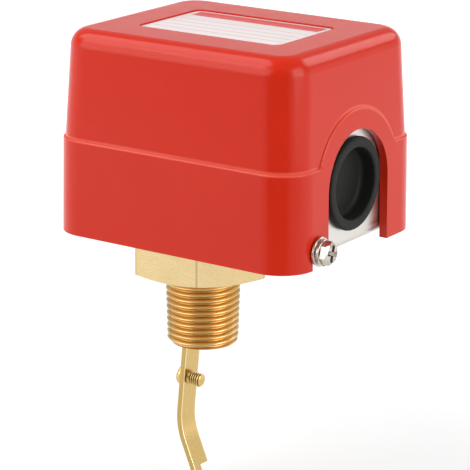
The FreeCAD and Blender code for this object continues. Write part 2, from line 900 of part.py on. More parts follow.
def cover_band(body, floor, waist, top):
    """The lower band, carried on upwards only where the arch stands. The arch leans back
    with the upper part, so that it stays as proud of it as the band is."""
    arch_top = d.entry_height + d.arch_radius + 1
    share = (arch_top.value - waist.value) / (top.value - waist.value)
    lean = ((d.cover_length - d.top_length) / 2 - d.cover_draft - d.band_step) * share
    loft(body, "PartDesign::AdditiveLoft", "band", [
        (floor, 0, d.cover_length, d.cover_width, d.cover_corner),
        (waist, d.cover_draft, d.cover_length, d.cover_width, d.cover_corner),
        (arch_top, d.cover_draft + lean, d.cover_length, d.cover_width, d.cover_corner),
    ])
    end = cover_middle + d.cover_length / 2 + 1
    wide = d.cover_width / 2 + 1
    rise = waist - d.entry_height + d.arch_foot
    reach = third_side(d.arch_radius + d.arch_foot, rise)
    arch_y = scaled(reach, d.arch_radius, d.arch_radius + d.arch_foot)
    arch_z = d.entry_height + scaled(rise, d.arch_radius, d.arch_radius + d.arch_foot)
    trim = new_sketch(body, "arch_trim", "YZ_Plane", end)
    outline(trim, [
        (-wide, waist), (-reach, waist), (-arch_y, arch_z), (arch_y, arch_z), (reach, waist),
        (wide, waist), (wide, arch_top + 1), (-wide, arch_top + 1),
    ], {
        1: (-reach, waist + d.arch_foot, True),
        2: (0, d.entry_height, False),
        3: (reach, waist + d.arch_foot, True),
    })
    pocket(body, trim, d.cover_length + 2)
    rest = new_sketch(body, "arch_end", "XZ_Plane")
    rectangle(rest, cover_middle - d.cover_length / 2 - 1, end - 12, waist, arch_top + 1)
    pocket(body, rest, d.cover_width + 2, both_ways=True)
    round_edges(body, "band_rounding", d.band_rounding, lambda edge: is_band_rim(edge, waist))


def is_band_rim(edge, waist):
    """Whether an edge belongs to the outer rim of the band's top and of the arch."""
    middle = edge.CenterOfMass
    under_arch = (middle.x > cover_middle.value and abs(middle.y) < 1
                  and middle.z < waist.value + 0.01)
    return not under_arch and all(
        on_outside(v) and v.Z > waist.value - 0.01 for v in edge.Vertexes
    )


def on_outside(vertex):
    """Whether a vertex lies on the outer faces of the cover's band or arch."""
    reach = d.band_step.value * 2
    return (abs(vertex.X - cover_middle.value) > d.cover_length.value / 2 - reach
            or abs(vertex.Y) > d.cover_width.value / 2 - reach)


def cover_upper(body, waist, top):
    """The upper part, set in by the step and drafted to the rounded top."""
    waist_shrink = d.cover_draft + d.band_step
    loft(body, "PartDesign::AdditiveLoft", "upper", [
        (waist, waist_shrink, d.cover_length, d.cover_width, d.cover_corner),
        (top, 0, d.top_length, d.top_width, d.cover_corner - 1),
    ])
    round_edges(body, "top_rounding", d.top_fillet,
                lambda edge: all(abs(v.Z - top.value) < 1e-4 for v in edge.Vertexes))


def cover_inside(body, floor, waist, top):
    """The hollow, following both parts at the wall thickness."""
    wall = d.cover_wall
    waist_shrink = d.cover_draft + d.band_step + wall
    roof = top - wall - 1.0
    slope = (top.value - roof.value) / (top.value - waist.value)
    ease = ((d.cover_length / 2 - d.cover_draft - d.band_step) - d.top_length / 2) * slope
    loft(body, "PartDesign::SubtractiveLoft", "lower_hollow", [
        (floor - 0.01, wall, d.cover_length, d.cover_width, d.cover_corner),
        (waist - wall, wall + d.cover_draft, d.cover_length, d.cover_width, d.cover_corner),
    ])
    loft(body, "PartDesign::SubtractiveLoft", "upper_hollow", [
        (waist - wall - 0.01, waist_shrink, d.cover_length, d.cover_width, d.cover_corner),
        (roof, wall - ease, d.top_length, d.top_width, d.cover_corner - 1),
    ])
    inner_face = cover_middle + d.cover_length / 2 - d.cover_draft - wall + 0.25
    bulge = new_sketch(body, "arch_hollow", "YZ_Plane", inner_face - 6)
    arch_cap(bulge, d.arch_radius - wall, d.entry_height, waist - wall - 2)
    pocket(body, bulge, 6, backwards=True)


def cover_openings(body, floor, top):
    """The cable doorway, the slots that slip over the cover screws and the label recess."""
    end = cover_middle + d.cover_length / 2 + 1
    doorway = new_sketch(body, "doorway", "YZ_Plane", end)
    arch(doorway, d.entry_radius, d.entry_height, floor - 1)
    pocket(body, doorway, 8)
    half = d.cover_slot / 2
    near = new_sketch(body, "near_slot", "YZ_Plane", end)
    arch(near, half, d.cover_screw_height, floor - 1, -d.cover_screw_side)
    pocket(body, near, 8)
    far = new_sketch(body, "far_slot", "YZ_Plane", cover_middle - d.cover_length / 2 - 1)
    arch(far, half, d.cover_screw_height, floor - 1, d.cover_screw_side)
    pocket(body, far, 8, backwards=True)
    recess = new_sketch(body, "label_recess", "XY_Plane", top + 1)
    label_outline(recess, 0)
    pocket(body, recess, d.label_depth + 1)


def label_outline(sketch, gap):
    """The label's rounded rectangle, smaller by gap all round."""
    half_x = d.label_length / 2 - gap
    half_y = d.label_width / 2 - gap
    return rounded_box(sketch, cover_middle - half_x, cover_middle + half_x,
                       -half_y, half_y, d.label_corner)


def label_plate():
    """The printed plate in the recess of the cover."""
    body = new_body("label_plate")
    floor = d.cover_floor + d.cover_height - d.label_depth
    sheet = new_sketch(body, "label_outline", "XY_Plane", floor)
    label_outline(sheet, 0.25)
    pad(body, sheet, d.label_thickness)


def cover_fixings():
    """The two M4 cover screws with their spring and flat washers, one at each end."""
    flat, spring = d.washer_thickness, d.spring_washer_thickness
    reach = d.cover_length / 2 + 0.2
    bevel = d.cover_head_height * 0.45
    screw = turned("cover_screw", [
        (0, -d.cover_screw_length),
        (d.m_four, -d.cover_screw_length),
        (d.m_four, 0),
        (d.cover_head_radius, 0),
        (d.cover_head_radius, d.cover_head_height - bevel),
        (d.cover_head_radius - bevel, d.cover_head_height),
        (0, d.cover_head_height),
    ])
    plain = washer("cover_flat_washer", d.m_four + 0.2, d.flat_washer_radius, flat)
    split = washer("cover_spring_washer", d.m_four + 0.15, d.spring_washer_radius, spring)
    group("cover_screws", screw, cover_fixing_places(reach + flat + spring))
    group("cover_flat_washers", plain, cover_fixing_places(reach))
    group("cover_spring_washers", split, cover_fixing_places(reach + flat))


def cover_fixing_places(reach):
    """Both ends, at a distance from the cover's middle, facing outwards."""
    side, height = d.cover_screw_side.value, d.cover_screw_height.value
    near = Vector((cover_middle + reach).value, -side, height)
    far = Vector((cover_middle - reach).value, side, height)
    return [Placement(near, TO_X), Placement(far, TO_MINUS_X)]


# --------------------------------------------------------------------------- frame and entry

def base_frame():
    """The bent sheet-steel frame: floor on the hexagon, entry wall at +X, low tab at -X."""
    body = new_body("base_frame")
    low, high = d.hex_height, plate_top
    right, left = d.frame_right, -d.frame_left
    gauge, inner = d.plate_gauge, d.bend_radius
    outer = gauge + inner
    profile = new_sketch(body, "frame_profile", "XZ_Plane")
    right_bend = (right - outer, low + outer)
    left_bend = (left + outer, low + outer)
    outline(profile, [
        (left + outer, low), (right - outer, low),
        (right, low + outer), (right, d.frame_wall_top),
        (right - gauge, d.frame_wall_top), (right - gauge, high + inner),
        (right - outer, high), (left + outer, high),
        (left + gauge, high + inner), (left + gauge, d.frame_tab_top),
        (left, d.frame_tab_top), (left, low + outer),
    ], {
        1: (*right_bend, True), 5: (*right_bend, False),
        7: (*left_bend, False), 11: (*left_bend, True),
    })
    pad(body, profile, d.frame_width, both_ways=True)
    crown = new_sketch(body, "entry_wall_crown", "YZ_Plane", right + 1)
    shoulder = d.entry_height + 3.5
    reach = third_side(d.frame_wall_top - d.entry_height, shoulder - d.entry_height)
    outline(crown, [
        (-half_wall - 1, shoulder), (-reach, shoulder), (reach, shoulder),
        (half_wall + 1, shoulder), (half_wall + 1, d.frame_wall_top + 1),
        (-half_wall - 1, d.frame_wall_top + 1),
    ], {1: (0, d.entry_height, False)})
    pocket(body, crown, 4)
    corners = new_sketch(body, "far_tab_corners", "YZ_Plane", left - 1)
    for side in (1, -1):
        corner_offcut(corners, half_wall, d.frame_tab_top, size(3), side)
    pocket(body, corners, 4, backwards=True)
    entry = new_sketch(body, "entry_holes", "YZ_Plane", right + 1)
    circle(entry, d.grommet_hole, 0, d.entry_height)
    circle(entry, d.m_four + 0.05, -d.cover_screw_side, d.cover_screw_height)
    pocket(body, entry, 4)
    far = new_sketch(body, "far_screw_hole", "YZ_Plane", left - 1)
    circle(far, d.m_four + 0.05, d.cover_screw_side, d.cover_screw_height)
    pocket(body, far, 4, backwards=True)
    floor = new_sketch(body, "floor_holes", "XY_Plane", high + 1)
    circle(floor, d.hub_radius + 0.3)
    for x, y in body_screw_places():
        circle(floor, d.m_four + 0.25, x, y)
    for x, y in range_foot_places() + switch_foot_places() + [ground_place()]:
        circle(floor, d.m_four + 0.05, x, y)
    pocket(body, floor, 4)


def corner_offcut(sketch, half, top, radius, side):
    """The scrap outside a rounded upper corner, on the side given by its sign."""
    inner = half - radius
    centre = (inner * side, top - radius, side < 0)
    return outline(sketch, [
        (inner * side, top), (half * side, top - radius),
        ((half + 1) * side, top - radius), ((half + 1) * side, top + 1), (inner * side, top + 1),
    ], {0: centre})


def conduit_grommet():
    """The blind rubber grommet: two flanges, a groove for the frame and a dished membrane."""
    outer = d.frame_right
    inner = outer - d.plate_gauge
    face = grommet_face
    floor = face - d.dish_depth
    rim, dish = d.grommet_radius, d.dish_radius
    lip = d.grommet_lip
    corners = [
        (0, floor - 1.0),
        (dish - 1.0, floor - 1.0),
        (dish + 0.6, floor - 1.6),
        (rim - 0.8, floor - 1.0),
        (rim - 0.4, inner),
        (d.grommet_hole - 0.05, inner),
        (d.grommet_hole - 0.05, outer),
        (rim, outer),
        (rim, face - lip),
        (rim - lip, face),
        (dish + lip / 2, face),
        (dish, face - lip / 2),
        (dish - 0.9, floor + 0.9),
        (dish - 1.8, floor),
        (0, floor),
    ]
    arcs = {8: (rim - lip, face - lip, True)}
    body = turned("conduit_grommet", corners, arcs)
    body.Placement = Placement(Vector(0, 0, d.entry_height.value), TO_X)


# --------------------------------------------------------------------------- range adjuster

def range_foot_places():
    """Screw centres in the foot of the adjuster's bracket."""
    along_foot, aside = -d.range_foot_along, d.range_foot_aside
    return [(along_foot, aside), (along_foot, -aside)]


def switch_foot_places():
    """Screw centres in the foot of the switch bracket."""
    along_foot, aside = d.switch_foot_along, d.switch_foot_aside
    return [(along_foot, aside), (along_foot, -aside)]


def ground_place():
    """Centre of the earth screw, beside the cable entry."""
    return d.ground_along, -d.ground_aside


def angle_bracket(name, wall, foot_end, top, width):
    """A bent angle: its wall's -X face at wall, its foot on the frame up to foot_end."""
    body = new_body(name)
    gauge, inner = d.plate_gauge, d.bend_radius
    outer = gauge + inner
    floor = plate_top
    bend = (wall + outer, floor + outer)
    profile = new_sketch(body, f"{name}_profile", "XZ_Plane")
    outline(profile, [
        (wall + outer, floor), (foot_end, floor), (foot_end, floor + gauge),
        (wall + outer, floor + gauge), (wall + gauge, floor + outer),
        (wall + gauge, top), (wall, top), (wall, floor + outer),
    ], {3: (*bend, False), 7: (*bend, True)})
    pad(body, profile, width, both_ways=True)
    return body


def range_bracket():
    """The bracket that holds the range screw and guides its nut between two wings."""
    wall = -d.range_wall
    top = d.range_height + d.range_bracket_rise
    half_foot = d.range_foot
    half = d.seat_size / 2 + 0.1
    wing = d.range_wing_thickness
    body = angle_bracket("range_bracket", wall, -d.range_foot, top, half_foot * 2)
    neck = new_sketch(body, "range_neck", "YZ_Plane", wall - 1)
    shoulder = plate_top + d.plate_gauge + d.bend_radius + 1
    edge = half + wing
    for side in (1, -1):
        outline(neck, [
            (edge * side, shoulder + 5), ((half_foot + 1) * side, shoulder),
            ((half_foot + 1) * side, top + 1), (edge * side, top + 1),
        ])
    pocket(body, neck, 4, backwards=True)
    for face in (-half - wing, half):
        rail = new_sketch(body, "range_wing", "XZ_Plane", face)
        rounded_box(rail, wall + 1, 0.4 - d.range_foot, d.range_height - d.range_wing_half_height,
                    d.range_height + d.range_wing_half_height, 1.5)
        pad(body, rail, wing)
    hole = new_sketch(body, "range_journal", "YZ_Plane", wall - 1)
    circle(hole, d.m_four + 0.10, 0, d.range_height)
    pocket(body, hole, 4, backwards=True)
    holes = new_sketch(body, "range_foot_holes", "XY_Plane", plate_top + 3)
    for x, y in range_foot_places():
        circle(holes, d.m_four + 0.25, x, y)
    pocket(body, holes, 4)


def foot_screws(name, places):
    """Short pan-head screws through a bracket's foot into the frame, flush below it."""
    length = d.plate_gauge * 2
    master = plain_screw(f"{name}_one", d.m_four, length, d.pan_radius, d.pan_height)
    height = (plate_top + d.plate_gauge).value
    group(name, master, [
        Placement(Vector(x.value, y.value, height), Rotation()) for x, y in places
    ])


def range_bracket_screws():
    """The two screws of the range bracket."""
    foot_screws("range_bracket_screws", range_foot_places())


def range_screw():
    """The slotted adjusting screw, held in the bracket by its head and a clip."""
    head_high = -d.range_wall - 0.05
    head_low = head_high - d.range_head_height
    rim = d.range_head_radius
    end = -d.range_screw_end
    body = turned("range_screw", [
        (0, head_low),
        (rim - 0.4, head_low),
        (rim, head_low + 0.4),
        (rim, head_high),
        (d.m_four, head_high),
        (d.m_four, end - 0.5),
        (d.m_four - 0.5, end),
        (0, end),
    ])
    slot = new_sketch(body, "range_screw_slot", "XZ_Plane")
    rectangle(slot, -0.5, 0.5, head_low - 1, head_low + 0.9)
    pocket(body, slot, 10, both_ways=True)
    body.Placement = Placement(Vector(0, 0, d.range_height.value), TO_X)


def range_screw_clip():
    """The ring that keeps the adjusting screw from moving endways."""
    body = washer("range_screw_clip", d.m_four, d.range_clip_radius, d.range_clip_thickness)
    face = (d.plate_gauge - d.range_wall + 0.05).value
    body.Placement = Placement(Vector(face, 0, d.range_height.value), TO_X)


def spring_seat_nut():
    """The square nut that the range screw drives, with a spigot inside the spring."""
    body = new_body("spring_seat_nut")
    half = d.seat_size / 2
    height = d.range_height
    bore = d.m_four + 0.05
    plate = new_sketch(body, "seat_plate", "YZ_Plane", -d.seat_rest)
    rounded_box(plate, -half, half, height - half, height + half, 0.8)
    circle(plate, bore, 0, height)
    pad(body, plate, d.seat_thickness)
    spigot = new_sketch(body, "seat_spigot", "YZ_Plane", d.seat_thickness - d.seat_rest)
    circle(spigot, d.spigot_radius, 0, height)
    circle(spigot, bore, 0, height)
    pad(body, spigot, 1.0)


def range_spring():
    """The compression spring between the seat nut and the lever plate's tab."""
    body = new_body("range_spring")
    wire = d.spring_wire / 2
    start = d.seat_thickness - d.seat_rest
    length = -d.spring_end - start - d.spring_wire - 0.1
    section = new_sketch(body, "spring_wire_section", "XZ_Plane")
    outline(section, wire_section(d.spring_radius, wire))
    coil = body.newObject("PartDesign::AdditiveHelix", "spring_coil")
    coil.Profile = section
    coil.ReferenceAxis = (section, ["V_Axis"])
    coil.Mode = "height-turns-angle"
    coil.setExpression("Height", length.text)
    coil.setExpression("Turns", d.spring_turns.text)
    settle(body, coil)
    first = (start + wire + 0.05).value
    body.Placement = Placement(Vector(first, 0, d.range_height.value), TO_X)


# --------------------------------------------------------------------------- microswitch

def switch_wall():
    """The -X face of the switch bracket's wall, behind the switch and its insulation."""
    return d.switch_centre + d.switch_thickness / 2 + d.insulation


def switch_hole_places():
    """Where the two mounting screws cross the switch, as Y and Z."""
    middle = (d.switch_right - d.switch_left) / 2
    half = d.switch_hole_spacing / 2
    return [(middle - half, d.switch_hole_height), (middle + half, d.switch_hole_height)]


def terminal_places():
    """Y centre and shelf height of the common, normally open and normally closed terminals."""
    shelf = d.terminal_shelf
    return {
        "terminal_common": (d.switch_right - d.common_inset, shelf),
        "terminal_normally_open": (d.open_inset - d.switch_left, shelf),
        "terminal_normally_closed": (d.closed_inset - d.switch_left, shelf + d.terminal_step),
    }


def switch_bracket():
    """The angle that carries the microswitch above the lever plate."""
    wall = switch_wall()
    top, half = d.switch_wall_top, d.switch_bracket_width / 2
    end = d.switch_foot_end
    body = angle_bracket("switch_bracket", wall, end, top, d.switch_bracket_width)
    tapped = new_sketch(body, "switch_tapped_holes", "YZ_Plane", wall - 1)
    for y, z in switch_hole_places():
        circle(tapped, d.m_four + 0.05, y, z)
    for side in (1, -1):
        corner_offcut(tapped, half, top, size(4), side)
    pocket(body, tapped, 4, backwards=True)
    foot = new_sketch(body, "switch_foot_holes", "XY_Plane", plate_top + 3)
    for x, y in switch_foot_places():
        circle(foot, d.m_four + 0.25, x, y)
    for side in (1, -1):
        outline(foot, [
            (wall + 4, (half + 1) * side), (wall + 4, (half - 4) * side),
            (wall + 8, (half - 8) * side), (end + 1, (half - 8) * side),
            (end + 1, (half + 1) * side),
        ])
    pocket(body, foot, 4)


def switch_bracket_screws():
    """The two screws of the switch bracket."""
    foot_screws("switch_bracket_screws", switch_foot_places())


def insulating_sheet():
    """The thin sheet between the switch and its steel bracket."""
    body = new_body("insulating_sheet")
    sheet = new_sketch(body, "insulation_outline", "YZ_Plane", switch_wall() - d.insulation)
    edge = d.insulation
    rectangle(sheet, edge - d.switch_left, d.switch_right - edge, d.switch_bottom + edge,
              d.switch_bottom + d.switch_height - 1)
    for y, z in switch_hole_places():
        circle(sheet, d.m_four + 0.15, y, z)
    pad(body, sheet, d.insulation)


def microswitch_case():
    """The switch's moulded case: stepped shelves for the terminals, a barrel below for
    the plunger, and two mounting holes."""
    body = new_body("microswitch_case")
    low, high = d.switch_bottom, d.switch_bottom + d.switch_height
    left, right = -d.switch_left, d.switch_right
    shelf, step = d.terminal_shelf, d.terminal_shelf + d.terminal_step
    side = new_sketch(body, "case_side", "YZ_Plane", switch_wall() - d.insulation)
    tower_left, tower_right = left + d.case_tower_start, right - d.case_right_shelf
    barrier_left, barrier_right = left + d.case_left_shelf, left + d.case_mid_shelf
    barrier_top = step + d.case_barrier_rise
    outline(side, [
        (left, low), (right, low), (right, shelf), (tower_right, shelf),
        (tower_right, high), (tower_left, high), (tower_left, step),
        (barrier_right, step), (barrier_right, barrier_top), (barrier_left, barrier_top),
        (barrier_left, shelf), (left, shelf),
    ])
    pad(body, side, d.switch_thickness, backwards=True)
    barrel = new_sketch(body, "case_barrel", "XY_Plane", low)
    circle(barrel, d.barrel_radius, d.switch_centre, 0)
    pad(body, barrel, d.barrel_length, backwards=True)
    bore = new_sketch(body, "plunger_bore", "XY_Plane", low - d.barrel_length - 1)
    circle(bore, d.plunger_radius + 0.05, d.switch_centre, 0)
    pocket(body, bore, d.barrel_length + 6.5, backwards=True)
    mounting = new_sketch(body, "case_mounting_holes", "YZ_Plane", switch_wall() + 1)
    for y, z in switch_hole_places():
        circle(mounting, d.m_four + 0.15, y, z)
    pocket(body, mounting, d.switch_thickness + 3)
    screws = new_sketch(body, "case_screw_holes", "XY_Plane", high + 1)
    for y, _ in terminal_places().values():
        circle(screws, d.terminal_screw_radius + 0.05, d.switch_centre, y)
    pocket(body, screws, high + 1 - shelf + 5)


def microswitch_screws():
    """The two long screws through the switch into the bracket."""
    length = d.switch_thickness + d.insulation + d.plate_gauge + 0.8
    master = plain_screw("microswitch_screw", d.m_four, length, d.pan_radius - 0.1, d.pan_height)
    face = (d.switch_centre - d.switch_thickness / 2).value
    group("microswitch_screws", master, [
        Placement(Vector(face, y.value, z.value), TO_MINUS_X) for y, z in switch_hole_places()
    ])


def microswitch_plunger():
    """The switch's sprung plunger, just above the lever plate."""
    low = d.plunger_tip
    radius = d.plunger_radius
    high = low + d.plunger_length
    body = turned("microswitch_plunger", [
        (0, low), (radius - 1.4, low), (radius, low + 1.4), (radius, high), (0, high),
    ], {1: (radius - 1.4, low + 1.4, True)})
    body.Placement = Placement(Vector(d.switch_centre.value, 0, 0), Rotation())


def terminals():
    """The three brass terminal plates, each with an upturned fence at its outer end."""
    for name, (y, shelf) in terminal_places().items():
        body = new_body(name)
        outward = 1 if name == "terminal_common" else -1
        half = d.terminal_size / 2
        plate = new_sketch(body, f"{name}_plate", "XY_Plane", shelf)
        rounded_box(plate, d.switch_centre - half, d.switch_centre + half, y - half, y + half, 0.6)
        circle(plate, d.terminal_screw_radius + 0.15, d.switch_centre, y)
        pad(body, plate, d.terminal_thickness)
        fence = new_sketch(body, f"{name}_fence", "XY_Plane", shelf + d.terminal_thickness)
        edge = y + half * outward
        back = edge - d.terminal_fence_thickness * outward
        low, high = (back, edge) if outward > 0 else (edge, back)
        rectangle(fence, d.switch_centre - half + 0.7, d.switch_centre + half - 0.7, low, high)
        pad(body, fence, d.terminal_fence_height)


def terminal_screws():
    """The three wiring screws."""
    master = plain_screw("terminal_screw", d.terminal_screw_radius, d.terminal_screw_length,
                         d.terminal_head_radius, d.terminal_head_height)
    places = []
    for y, shelf in terminal_places().values():
        height = (shelf + d.terminal_thickness).value
        places.append(Placement(Vector(d.switch_centre.value, y.value, height), Rotation()))
    group("terminal_screws", master, places)


def ground_fixing():
    """The earth screw and its washer on the frame's floor, beside the cable entry."""
    thickness = d.washer_thickness
    x, y = (place.value for place in ground_place())
    ring = washer("ground_washer", d.m_four + 0.15, d.ground_washer_radius, thickness)
    ring.Placement = Placement(Vector(x, y, plate_top.value), Rotation())
    screw = plain_screw("ground_screw", d.m_four, d.ground_screw_length, d.pan_radius, d.pan_height)
    screw.Placement = Placement(Vector(x, y, (plate_top + thickness).value), Rotation())


# --------------------------------------------------------------------------- build and write

BUILDERS = [
    brass_body, body_screws, bellows_flange, flange_o_ring, bellows, bellows_cap, pivot_pin,
    lever_rod, lever_plate, lever_nut, paddle_arm, paddle_screw, cover, label_plate,
    cover_fixings, base_frame, conduit_grommet, range_bracket, range_bracket_screws,
    range_screw, range_screw_clip, spring_seat_nut, range_spring, switch_bracket,
    switch_bracket_screws, insulating_sheet, microswitch_case, microswitch_screws,
    microswitch_plunger, terminals, terminal_screws, ground_fixing,
]


def check_document():
    """Stops at any object that failed and at any piece without a valid solid."""
    for item in doc.Objects:
        if {"Invalid", "Error"} & set(item.State):
            raise RuntimeError(f"{item.Name}: {item.State}")
    for piece in parts:
        shape = piece.Shape
        if shape.isNull() or not shape.isValid() or not shape.Solids:
            raise RuntimeError(f"{piece.Label} has no valid solid")


def write_parts():
    """One STEP file per piece."""
    os.makedirs("parts", exist_ok=True)
    for piece in parts:
        piece.Shape.exportStep(f"parts/{piece.Label}.step")
        box = piece.Shape.BoundBox
        print(f"{piece.Label:26s} {len(piece.Shape.Solids)} {piece.Shape.Volume:10.1f}"
              f"  x {box.XMin:7.2f} {box.XMax:7.2f}  y {box.YMin:7.2f} {box.YMax:7.2f}"
              f"  z {box.ZMin:7.2f} {box.ZMax:7.2f}")


for build_piece in BUILDERS:
    build_piece()
doc.recompute()
check_document()
write_parts()
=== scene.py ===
"""The looks of a paddle flow switch: materials, fine pieces, light and camera around the CAD."""
import json
import math

import bmesh
import bpy
from mathutils import Matrix, Vector


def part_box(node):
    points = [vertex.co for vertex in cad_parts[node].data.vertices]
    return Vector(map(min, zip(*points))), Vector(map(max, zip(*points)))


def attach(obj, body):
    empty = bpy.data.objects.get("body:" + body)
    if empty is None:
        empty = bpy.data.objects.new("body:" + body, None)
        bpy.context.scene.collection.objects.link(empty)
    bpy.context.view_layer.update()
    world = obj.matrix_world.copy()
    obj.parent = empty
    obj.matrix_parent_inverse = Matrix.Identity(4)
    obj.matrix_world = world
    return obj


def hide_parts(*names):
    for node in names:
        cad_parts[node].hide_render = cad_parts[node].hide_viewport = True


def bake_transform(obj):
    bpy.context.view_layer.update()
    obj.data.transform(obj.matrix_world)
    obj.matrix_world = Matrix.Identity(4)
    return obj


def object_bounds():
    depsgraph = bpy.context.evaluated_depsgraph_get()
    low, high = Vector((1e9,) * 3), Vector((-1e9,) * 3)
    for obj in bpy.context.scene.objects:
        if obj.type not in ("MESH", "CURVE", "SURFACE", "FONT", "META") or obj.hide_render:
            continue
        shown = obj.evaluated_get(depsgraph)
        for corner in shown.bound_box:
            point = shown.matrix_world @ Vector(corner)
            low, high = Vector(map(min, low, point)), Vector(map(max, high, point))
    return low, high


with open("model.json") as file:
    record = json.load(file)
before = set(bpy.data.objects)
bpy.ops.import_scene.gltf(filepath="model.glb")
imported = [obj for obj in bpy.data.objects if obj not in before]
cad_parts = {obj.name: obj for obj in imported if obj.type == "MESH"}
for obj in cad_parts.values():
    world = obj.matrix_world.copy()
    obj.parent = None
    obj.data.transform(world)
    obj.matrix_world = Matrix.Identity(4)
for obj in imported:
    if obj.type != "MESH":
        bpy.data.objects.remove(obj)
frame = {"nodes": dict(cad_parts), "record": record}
cad_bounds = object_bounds()

MM = 0.001
MICRON = 0.000001
NODES = frame["nodes"]
RECORD = frame["record"]
MOUNTS = {mount["name"]: mount for mount in RECORD["mounts"]}
OPENINGS = {opening["name"]: opening for opening in RECORD["physics"]["openings"]}
BODY_OF = {node: body for body, nodes in RECORD["behaviour"]["bodies"].items() for node in nodes}

# The taper pipe thread: 14 turns to the inch, crest radius at the hexagon's shoulder.
PIPE_PITCH = 25.4 / 14 * MM
PIPE_DEPTH = 0.62 * PIPE_PITCH
PIPE_TAPER = 1.0 / 32.0
PIPE_CREST = MOUNTS["pipe_thread"]["dims"]["r_mm"] * MM + 0.28 * MM

# The cover's proud lower band, and the arch that it makes over the cable entry.
BAND_HEIGHT = 26.6 * MM
ARCH_RADIUS = 20.6 * MM

# Machine screws: crest radii, pitches, and the depth of a thread as a share of its pitch.
M4_RADIUS, M4_FRAME_RADIUS, STUD_RADIUS, M4_PITCH = 1.95 * MM, 1.93 * MM, 1.97 * MM, 0.7 * MM
M3_RADIUS, M3_PITCH = 1.58 * MM, 0.5 * MM
THREAD_SHARE = 0.6
COVER_HEAD, FRAME_HEAD, TERMINAL_HEAD = 2.2 * MM, 2.4 * MM, 2.0 * MM

UP = Vector((0.0, 0.0, 1.0))
TO_CABLE = Vector((1.0, 0.0, 0.0))


# ----------------------------------------------------------------------------- materials

def join(tree, socket, value):
    """Links an output to a socket, or sets the socket to a value."""
    if isinstance(value, bpy.types.NodeSocket):
        tree.links.new(value, socket)
    else:
        socket.default_value = value


def add_node(tree, kind, inputs=(), **settings):
    """Adds a node; inputs maps a socket's name or number to a value or an output."""
    node = tree.nodes.new(kind)
    for key, value in settings.items():
        setattr(node, key, value)
    for key, value in dict(inputs).items():
        join(tree, node.inputs[key], value)
    return node


class Paint:
    """A material built from procedural nodes in object space, in metres."""

    def __init__(self, name):
        self.material = bpy.data.materials.new(name)
        self.material.use_nodes = True
        self.tree = self.material.node_tree
        self.shader = self.tree.nodes["Principled BSDF"]
        self.place = self.node("ShaderNodeTexCoord").outputs["Object"]

    def node(self, kind, inputs=(), **settings):
        return add_node(self.tree, kind, inputs, **settings)

    def set(self, **values):
        """Sets the shader's sockets; an underscore in a name stands for a space."""
        for key, value in values.items():
            join(self.tree, self.shader.inputs[key.replace("_", " ")], value)

    def stretched(self, stretch):
        """Object space with each axis multiplied, so a texture runs as lines."""
        mapping = self.node("ShaderNodeMapping", {"Vector": self.place, "Scale": stretch})
        return mapping.outputs["Vector"]

    def noise(self, scale, detail=2.0, roughness=0.5, stretch=None):
        vector = self.place if stretch is None else self.stretched(stretch)
        return self.node("ShaderNodeTexNoise", {
            "Vector": vector, "Scale": scale, "Detail": detail, "Roughness": roughness,
        }).outputs["Fac"]

    def span(self, value, low, high, start=0.3, end=0.7):
        """Maps a factor from start..end to low..high."""
        return self.node("ShaderNodeMapRange", {
            "Value": value, "From Min": start, "From Max": end, "To Min": low, "To Max": high,
        }).outputs["Result"]

    def mix(self, factor, first, second):
        """Mixes two colours, each a triple or an output."""
        first, second = (
            (*colour, 1.0) if isinstance(colour, tuple) else colour for colour in (first, second)
        )
        inputs = {"Factor": factor, 6: first, 7: second}
        return self.node("ShaderNodeMix", inputs, data_type="RGBA").outputs[2]

    def math(self, operation, first, second=0.0):
        return self.node("ShaderNodeMath", {0: first, 1: second}, operation=operation).outputs[0]

    def vector_math(self, operation, *values, output="Vector"):
        node = self.node("ShaderNodeVectorMath", enumerate(values), operation=operation)
        return node.outputs[output]

    def height(self):
        return self.node("ShaderNodeSeparateXYZ", {"Vector": self.place}).outputs["Z"]

    def inside(self, value, start, end):
        """1 where the value lies between start and end, and 0 elsewhere."""
        above = self.math("GREATER_THAN", value, start)
        below = self.math("LESS_THAN", value, end)
        return self.math("MULTIPLY", above, below)

    def bump(self, height, distance, under=None):
        """A bump of the given depth in metres, over another bump if there is one."""
        inputs = {"Height": height, "Distance": distance, "Strength": 1.0}
        if under is not None:
            inputs["Normal"] = under
        return self.node("ShaderNodeBump", inputs).outputs["Normal"]


